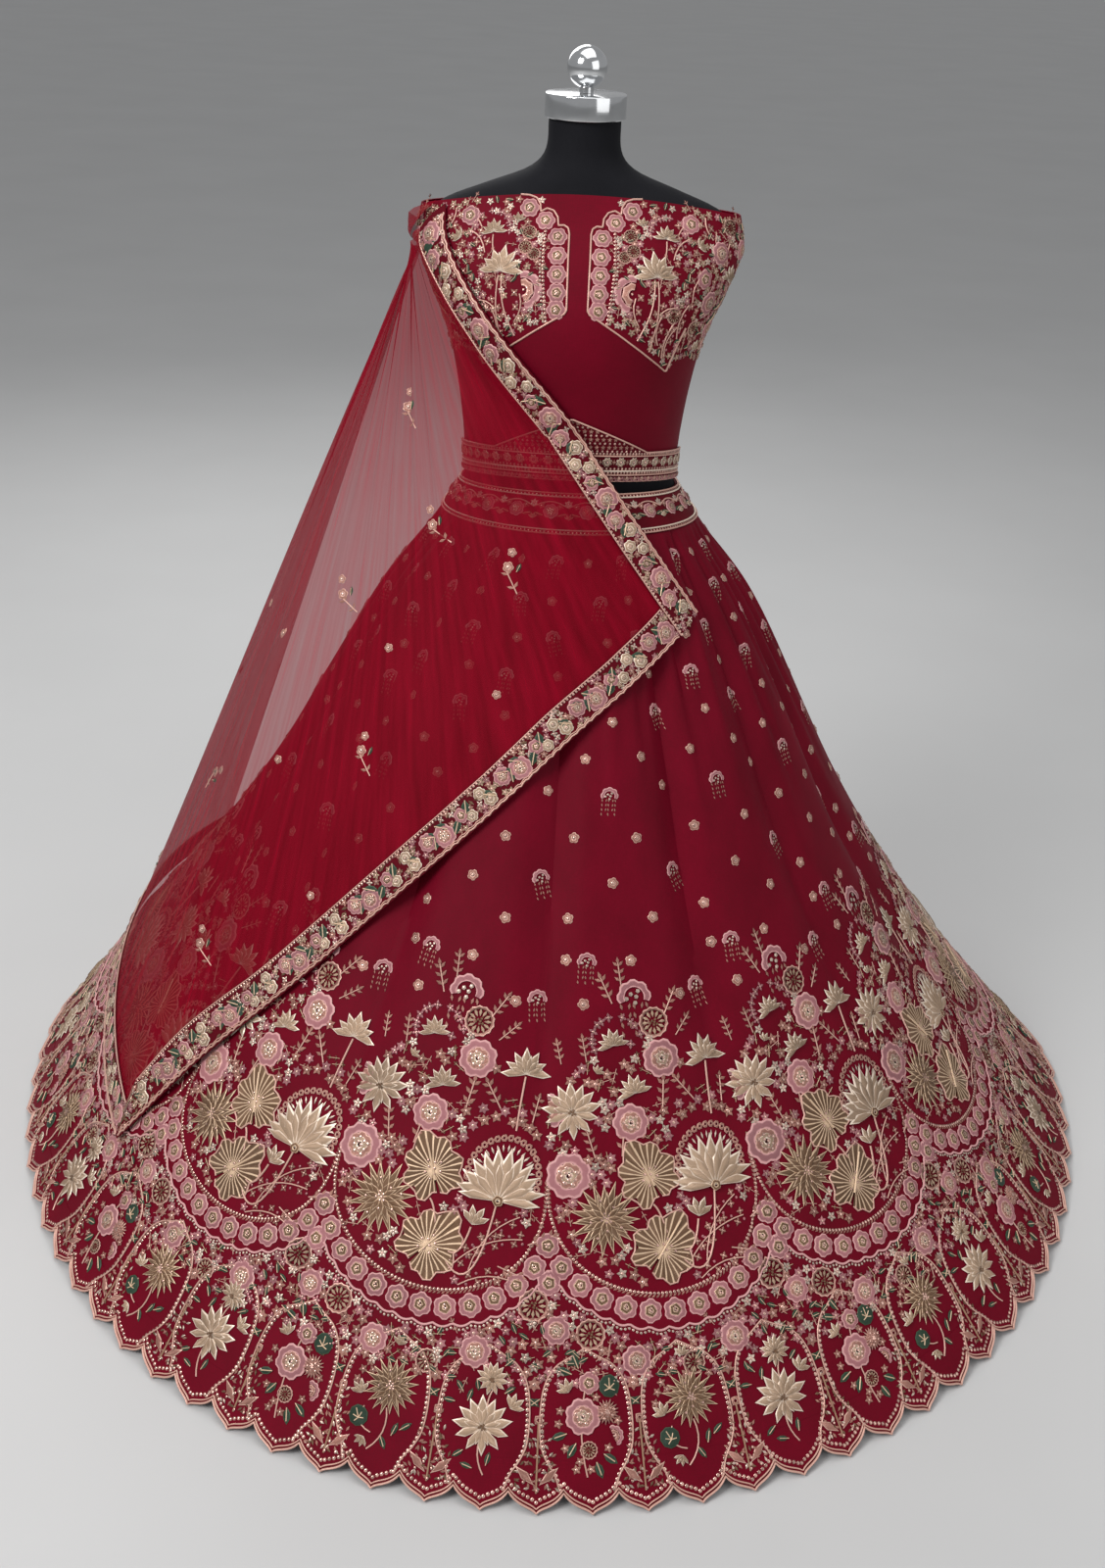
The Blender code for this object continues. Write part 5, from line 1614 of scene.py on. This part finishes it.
# The corded outline of a front panel, from its scalloped top to the point at the side
panelOutline = tableOf(
    "at share",
    (22.5, 1.000), (19.0, 0.997), (16.2, 0.988), (14.6, 0.968), (14.2, 0.945), (12.0, 0.955),
    (9.6, 0.948), (8.0, 0.928), (7.6, 0.902), (5.6, 0.903), (4.2, 0.895), (3.7, 0.878), (3.7, 0.750),
    (3.9, 0.632), (13.0, 0.585), (23.0, 0.535), (34.0, 0.484), (45.0, 0.436), (47.0, 0.500),
    (49.5, 0.600))
outlineFlowers = tableOf(
    "at share",
    (18.4, 0.957), (12.2, 0.917), (7.6, 0.868), (7.4, 0.811), (7.4, 0.753), (7.5, 0.695), (7.8, 0.640))


def outlinePath(rows):
    at, share = np.array([row["at"] for row in rows]), np.array([row["share"] for row in rows])
    order, corners = np.linspace(0.0, len(rows) - 1.0, 120), np.arange(len(rows))
    return np.radians(np.interp(order, corners, at)), np.interp(order, corners, share)


def insidePanel(angle, share):
    # beyond the bead line, above the outline's slant, and clear of the top edge
    at = np.degrees(angle)
    slant = np.where(at < 47, 0.632 - (at - 3.9) * 0.0048, 0.460)
    return (at > 12.6) & (share > slant + 0.022) & (share < 0.985)


def sewBlouse(name, facing):
    # both panels of the front or, with facing pi, the same on the back
    work = Needlework(name, blouseCloth, 17)
    taken, upright = [], ("berrySpray", "openLotus", "budLotus")
    for row in blouseFlowers + [dict(row, motif="berrySpray") for row in blouseSprays]:
        motif = motifMakers[row["motif"]](row["size"])
        spread = 0.34 if row["motif"] == "berrySpray" else 0.56
        radius = max(math.hypot(x, y) for x, y, z in motif.points) * spread
        turn = math.radians(row["turn"])
        rise = 0.5 * row["size"] / blouseFlat[1] if row["motif"] in upright else 0.0
        taken.append((math.radians(row["at"]) + facing, row["share"] + rise, radius))
        for side in (-1, 1):
            sewn = Motif().sew(motif, flip=side)
            work.sew(sewn, facing + side * math.radians(row["at"]), row["share"], side * turn)
    for row in outlineFlowers:
        for side in (-1, 1):
            work.sew(rimFlower(0.0118), facing + side * math.radians(row["at"]), row["share"], side * 0.5)
        taken.append((facing + math.radians(row["at"]), row["share"], 0.013))
    angle, share = outlinePath(panelOutline)
    for side in (-1, 1):
        work.cord(facing + side * angle, share, 0.0022, 0.0016, "rose")
        for shift, kind in ((0.0, bead(0.0019, "sequin", 6)), (0.018, bead(0.0015, "bead", 5))):
            line = np.linspace(0.930 - 3 * shift, 0.600, 40)
            column = np.radians(11.7 + 0.6 * np.sin((0.93 - line) * 9)) + shift
            work.beads(facing + side * column, line, 0.0046, kind)
        for row in blouseStems:
            climb = np.linspace(0.0, 1.0, 14)
            lean = row["lean"] * np.sin(math.pi * climb)
            at = row["fromAt"] + (row["toAt"] - row["fromAt"]) * climb + lean
            up = row["fromShare"] + (row["toShare"] - row["fromShare"]) * climb
            work.cord(facing + side * np.radians(at), up, 0.0017, 0.0011, "rose")
    places = scatter(blouseCloth, (facing + 0.22, facing + 1.53), (0.46, 0.985), taken, 0.0062, 9000, 19,
                     lambda u, v: insidePanel(u - facing, v))
    chance = np.random.default_rng(23)
    kinds = [blossom(0.0052), sprig(0.012, 2), blossom(0.0048, 5, "bead"), blossom(0.0050, 5, "cream"),
             blossom(0.0052, 6, "pink"), greenLeaf(0.010, 0.45)]
    for index, (u, v) in enumerate(zip(*places)):
        turn = chance.uniform(-2.0, 2.0)
        for side in (-1, 1):
            work.sew(kinds[index % 6], facing + side * (u - facing), v, side * turn)
    edge = np.radians(np.linspace(-89.0, 89.0, 120)) + facing
    work.cord(edge, np.full(120, 0.004), 0.0024, 0.0016, "rose")
    return work


def sewBelt():
    work = Needlework("beltFlowers", blouseCloth, 29)
    lift = 0.0025
    angles = np.radians(np.linspace(-87.5, 87.5, 150))
    work.cord(angles, beltTop(angles) - 0.003, 0.0020, 0.0014, "rose", lift=lift)
    for share, finish in ((0.030, "rose"), (0.046, "cream"), (0.106, "rose")):
        work.cord(angles, np.full(150, share), 0.0018, 0.0012, finish, lift=lift)
    for share, pitch in ((0.038, 0.0044), (0.054, 0.0052), (0.114, 0.0044)):
        u, v, along = work.spaced(angles, np.full(150, share), pitch)
        work.sew(bead(0.0017, "sequin"), u, v, along, lift=lift)
    u, v, along = work.spaced(angles, np.full(150, 0.022), 0.0110)
    work.sew(halfFan(0.0062), u, v, along + math.pi, lift=lift)
    u, v, along = work.spaced(angles, np.full(150, 0.081), 0.0180)
    work.sew(rosette(0.0068, 8, 0.0014, "cream", 0.35, 0.30, 2), u, v, along, lift=lift)
    work.sew(bead(0.0018, "sequin"), u, v, along, lift=lift + 0.0008)
    work.sew(blossom(0.0036, 4, "rose"), u[:-1] + 0.5 * np.diff(u), v[:-1], along[:-1], lift=lift)
    for row in range(8):
        share = 0.124 + 0.0155 * row
        reach = beltCut["peakHalf"] * (1 - (share - beltCut["height"]) / beltCut["peak"]) - 2.6
        line = np.radians(np.linspace(-reach, reach, 40))
        u, v, along = work.spaced(line, np.full(40, share), 0.0064 + 0.0012 * (row % 2))
        kind = bead(0.0016, "sequin") if row % 2 == 0 else blossom(0.0032, 5, "rose")
        work.sew(kind, u, v, along, lift=lift)
    return work


# Needlework of the veil's borders; across runs from the sheer side (0) to the edge (1)

def shoulderBorder(along, across):
    return veilForm(veilCut["trimWidth"] * (1 - across), along)


def lowerBorder(reach, across):
    start = trimStart(reach)
    return veilForm(reach, start + (1 - start) * across)


def backBorder(across, along):
    return fallForm(across, veilCut["fallTrim"] + (1 - veilCut["fallTrim"]) * along)


def sewBorder(name, cloth, first, last, metres, seedNumber):
    # a dense strip: roses two by two, buttons, leaves and blossoms between two corded edges
    work = Needlework(name, cloth, seedNumber)
    lift, taken = 0.0032, []
    line = np.linspace(first, last, max(int(metres / 0.004), 20))
    perMetre = (last - first) / metres
    repeat = 0.128
    items = (("rose", 0.013, 0.58, 0.0150), ("rose", 0.041, 0.42, 0.0120), ("button", 0.064, 0.64, 0.0095),
             ("button", 0.080, 0.34, 0.0085), ("button", 0.095, 0.66, 0.0080), ("rim", 0.112, 0.46, 0.0100))
    leaves = ((0.027, 0.74, 2.6), (0.029, 0.20, 0.7), (0.054, 0.70, 3.9), (0.052, 0.22, 1.0),
              (0.104, 0.20, -0.6), (0.124, 0.76, 2.2))
    starts = np.arange(0.0, metres, repeat)
    for kind, offset, across, radius in items:
        motif = dict(rose=roseFlower, button=creamFlower, rim=rimFlower)[kind](radius)
        travelled = starts[starts + offset < metres - 0.012] + offset
        if len(travelled):
            places = first + travelled * perMetre
            turns = work.chance.uniform(-3, 3, len(places))
            work.sew(motif, places, np.full(len(places), across), turns, lift=lift)
            taken += [(place, across, radius * 0.90) for place in places]
    for offset, across, turn in leaves:
        travelled = starts[starts + offset < metres - 0.010] + offset
        if len(travelled):
            places = first + travelled * perMetre
            work.sew(greenLeaf(0.0210, 0.56), places, np.full(len(places), across), turn, lift=lift)
            taken += [(place, across, 0.0065) for place in places]
    u, v = scatter(cloth, (min(first, last), max(first, last)), (0.13, 0.87), taken, 0.0058,
                   int(16000 * metres), seedNumber)
    kinds = [blossom(0.0052), blossom(0.0050, 5, "cream"), blossom(0.0048, 5, "pink"),
             seed(0.0090, 0.0040, 0.0014, "gold"), blossom(0.0046, 4, "bead")]
    for index, kind in enumerate(kinds):
        chosen = slice(index, None, len(kinds))
        if len(u[chosen]):
            work.sew(kind, u[chosen], v[chosen], work.chance.uniform(-3, 3, len(u[chosen])), lift=lift)
    ripple = 0.045 * np.abs(np.sin(math.pi * np.linspace(0.0, metres, len(line)) / 0.013))
    work.cord(line, 0.968 - ripple, 0.0022, 0.0014, "rose", lift=lift)
    work.cord(line, 0.915 - ripple, 0.0014, 0.0011, "rose", lift=lift)
    work.cord(line, 0.030 + 0 * line, 0.0016, 0.0011, "rose", lift=lift)
    u, v, along = work.spaced(line, 0.080 + 0 * line, 0.0048)
    work.sew(bead(0.0018, "sequin", 5), u, v, along, lift=lift)
    return work


veilSprigs = tableOf(
    "reach fall turn",
    (0.620, 0.720, 2.9), (0.420, 0.470, 3.3), (0.980, 0.800, 3.0), (0.760, 0.450, 3.4),
    (1.180, 0.620, 3.1), (0.520, 0.250, 3.2), (0.250, 0.640, 2.8), (1.420, 0.860, 3.3))


def sewVeil():
    work = Needlework("dupattaSprigs", veilCloth, 31)
    motif = smallButi(0.017).sew(smallButi(0.014), 0.012, 0.014).sew(sprig(0.030, 2), -0.004, -0.034)
    motif.sew(greenLeaf(0.012), 0.006, -0.010, -0.9)
    for row in veilSprigs:
        work.sew(motif, row["reach"], row["fall"], row["turn"], lift=0.0014)
    reaches, falls = [0.33, 0.56, 0.88, 1.05, 1.30, 0.70, 1.50], [0.82, 0.60, 0.62, 0.42, 0.44, 0.88, 0.60]
    work.sew(smallButi(0.014), reaches, falls, lift=0.0014)
    return work


lowerCloth = Cloth(lowerBorder)
work = [*sewPanels(), sewMedallions(), sewHem(), sewButis(), sewWaistband(),
        sewBlouse("choliFrontFlowers", 0.0), sewBlouse("choliBackFlowers", math.pi), sewBelt(),
        sewBorder("dupattaShoulderFlowers", Cloth(shoulderBorder), 0.02, 1.0, 0.60, 41),
        sewBorder("dupattaEndFlowers", lowerCloth, 0.048, veilCorner - 0.002, 1.00, 43),
        sewBorder("dupattaSideFlowers", lowerCloth, veilCorner + 0.004, veilReach - 0.004, 0.63, 45),
        sewBorder("dupattaBackFlowers", Cloth(backBorder, side=-1), 0.02, 0.98, 0.36, 47), sewVeil()]
for piece in work:
    piece.finish()
print("needlework sewn")


# Stage, light and camera

def buildStage():
    bpy.ops.object.select_all(action="DESELECT")
    bpy.ops.mesh.primitive_plane_add(size=80.0, location=(0.0, 20.0, -0.0006))
    floor = bpy.context.object
    floor.name = "paleFloor"
    material, shader, look = newFinish("palePlaster")
    place = look.make("ShaderNodeTexCoord", output=3)
    cloudy = look.noise(place, 1.6, 3.0)
    setShader(shader, {
        "Base Color": cloudy.clipped(0.2, 0.8).blend((0.60, 0.60, 0.595), (0.64, 0.64, 0.635)),
        "Roughness": 0.9,
    })
    floor.data.materials.append(material)
    bpy.ops.object.transform_apply(location=True, rotation=True, scale=True)


studioLights = tableOf(
    "name at aim size power",
    ("keyLight", (-2.2, -2.2, 3.2), (0.0, -0.2, 0.6), 1.5, 88.0),
    ("fillLight", (2.6, -2.2, 2.0), (0.0, -0.2, 0.6), 2.6, 22.0),
    ("topLight", (0.2, -0.3, 3.6), (0.0, 0.0, 0.0), 2.4, 26.0),
    ("rimLight", (-0.8, 2.6, 2.6), (0.0, 0.0, 0.9), 2.0, 30.0))


def buildLights():
    for light in studioLights:
        lamp = bpy.data.lights.new(light["name"], "AREA")
        lamp.size, lamp.energy = light["size"], light["power"]
        thing = bpy.data.objects.new(light["name"], lamp)
        thing.location = light["at"]
        aim = [b - a for a, b in zip(light["at"], light["aim"])]
        thing.rotation_euler = Euler((math.atan2(math.hypot(aim[0], aim[1]), -aim[2]), 0.0,
                                      math.atan2(-aim[0], aim[1])))
        bpy.context.scene.collection.objects.link(thing)
    world = bpy.data.worlds.new("studio")
    world.use_nodes = True
    world.node_tree.nodes["Background"].inputs["Color"].default_value = (0.93, 0.94, 0.96, 1.0)
    world.node_tree.nodes["Background"].inputs["Strength"].default_value = 0.36
    bpy.context.scene.world = world


# The camera as fitted to the photo: degrees down and of roll, lens and frame in millimetres
view = dict(place=(-0.0048, -2.0928, 1.6128), down=28.6, roll=2.46, lens=38.25, frame=36.0)


def buildCamera():
    data = bpy.data.cameras.new("camera")
    data.lens, data.sensor_width, data.clip_end = view["lens"], view["frame"], 200.0
    camera = bpy.data.objects.new("camera", data)
    camera.location = view["place"]
    pitch, roll = math.radians(view["down"]), math.radians(view["roll"])
    turn = Euler((math.pi / 2 - pitch, 0.0, 0.0)).to_matrix() @ Euler((0.0, 0.0, roll)).to_matrix()
    camera.rotation_euler = turn.to_euler()
    bpy.context.scene.collection.objects.link(camera)
    bpy.context.scene.camera = camera


bpy.context.scene.view_settings.view_transform = "Standard"
buildStage()
buildLights()
buildCamera()
print("stage, lights and camera set")
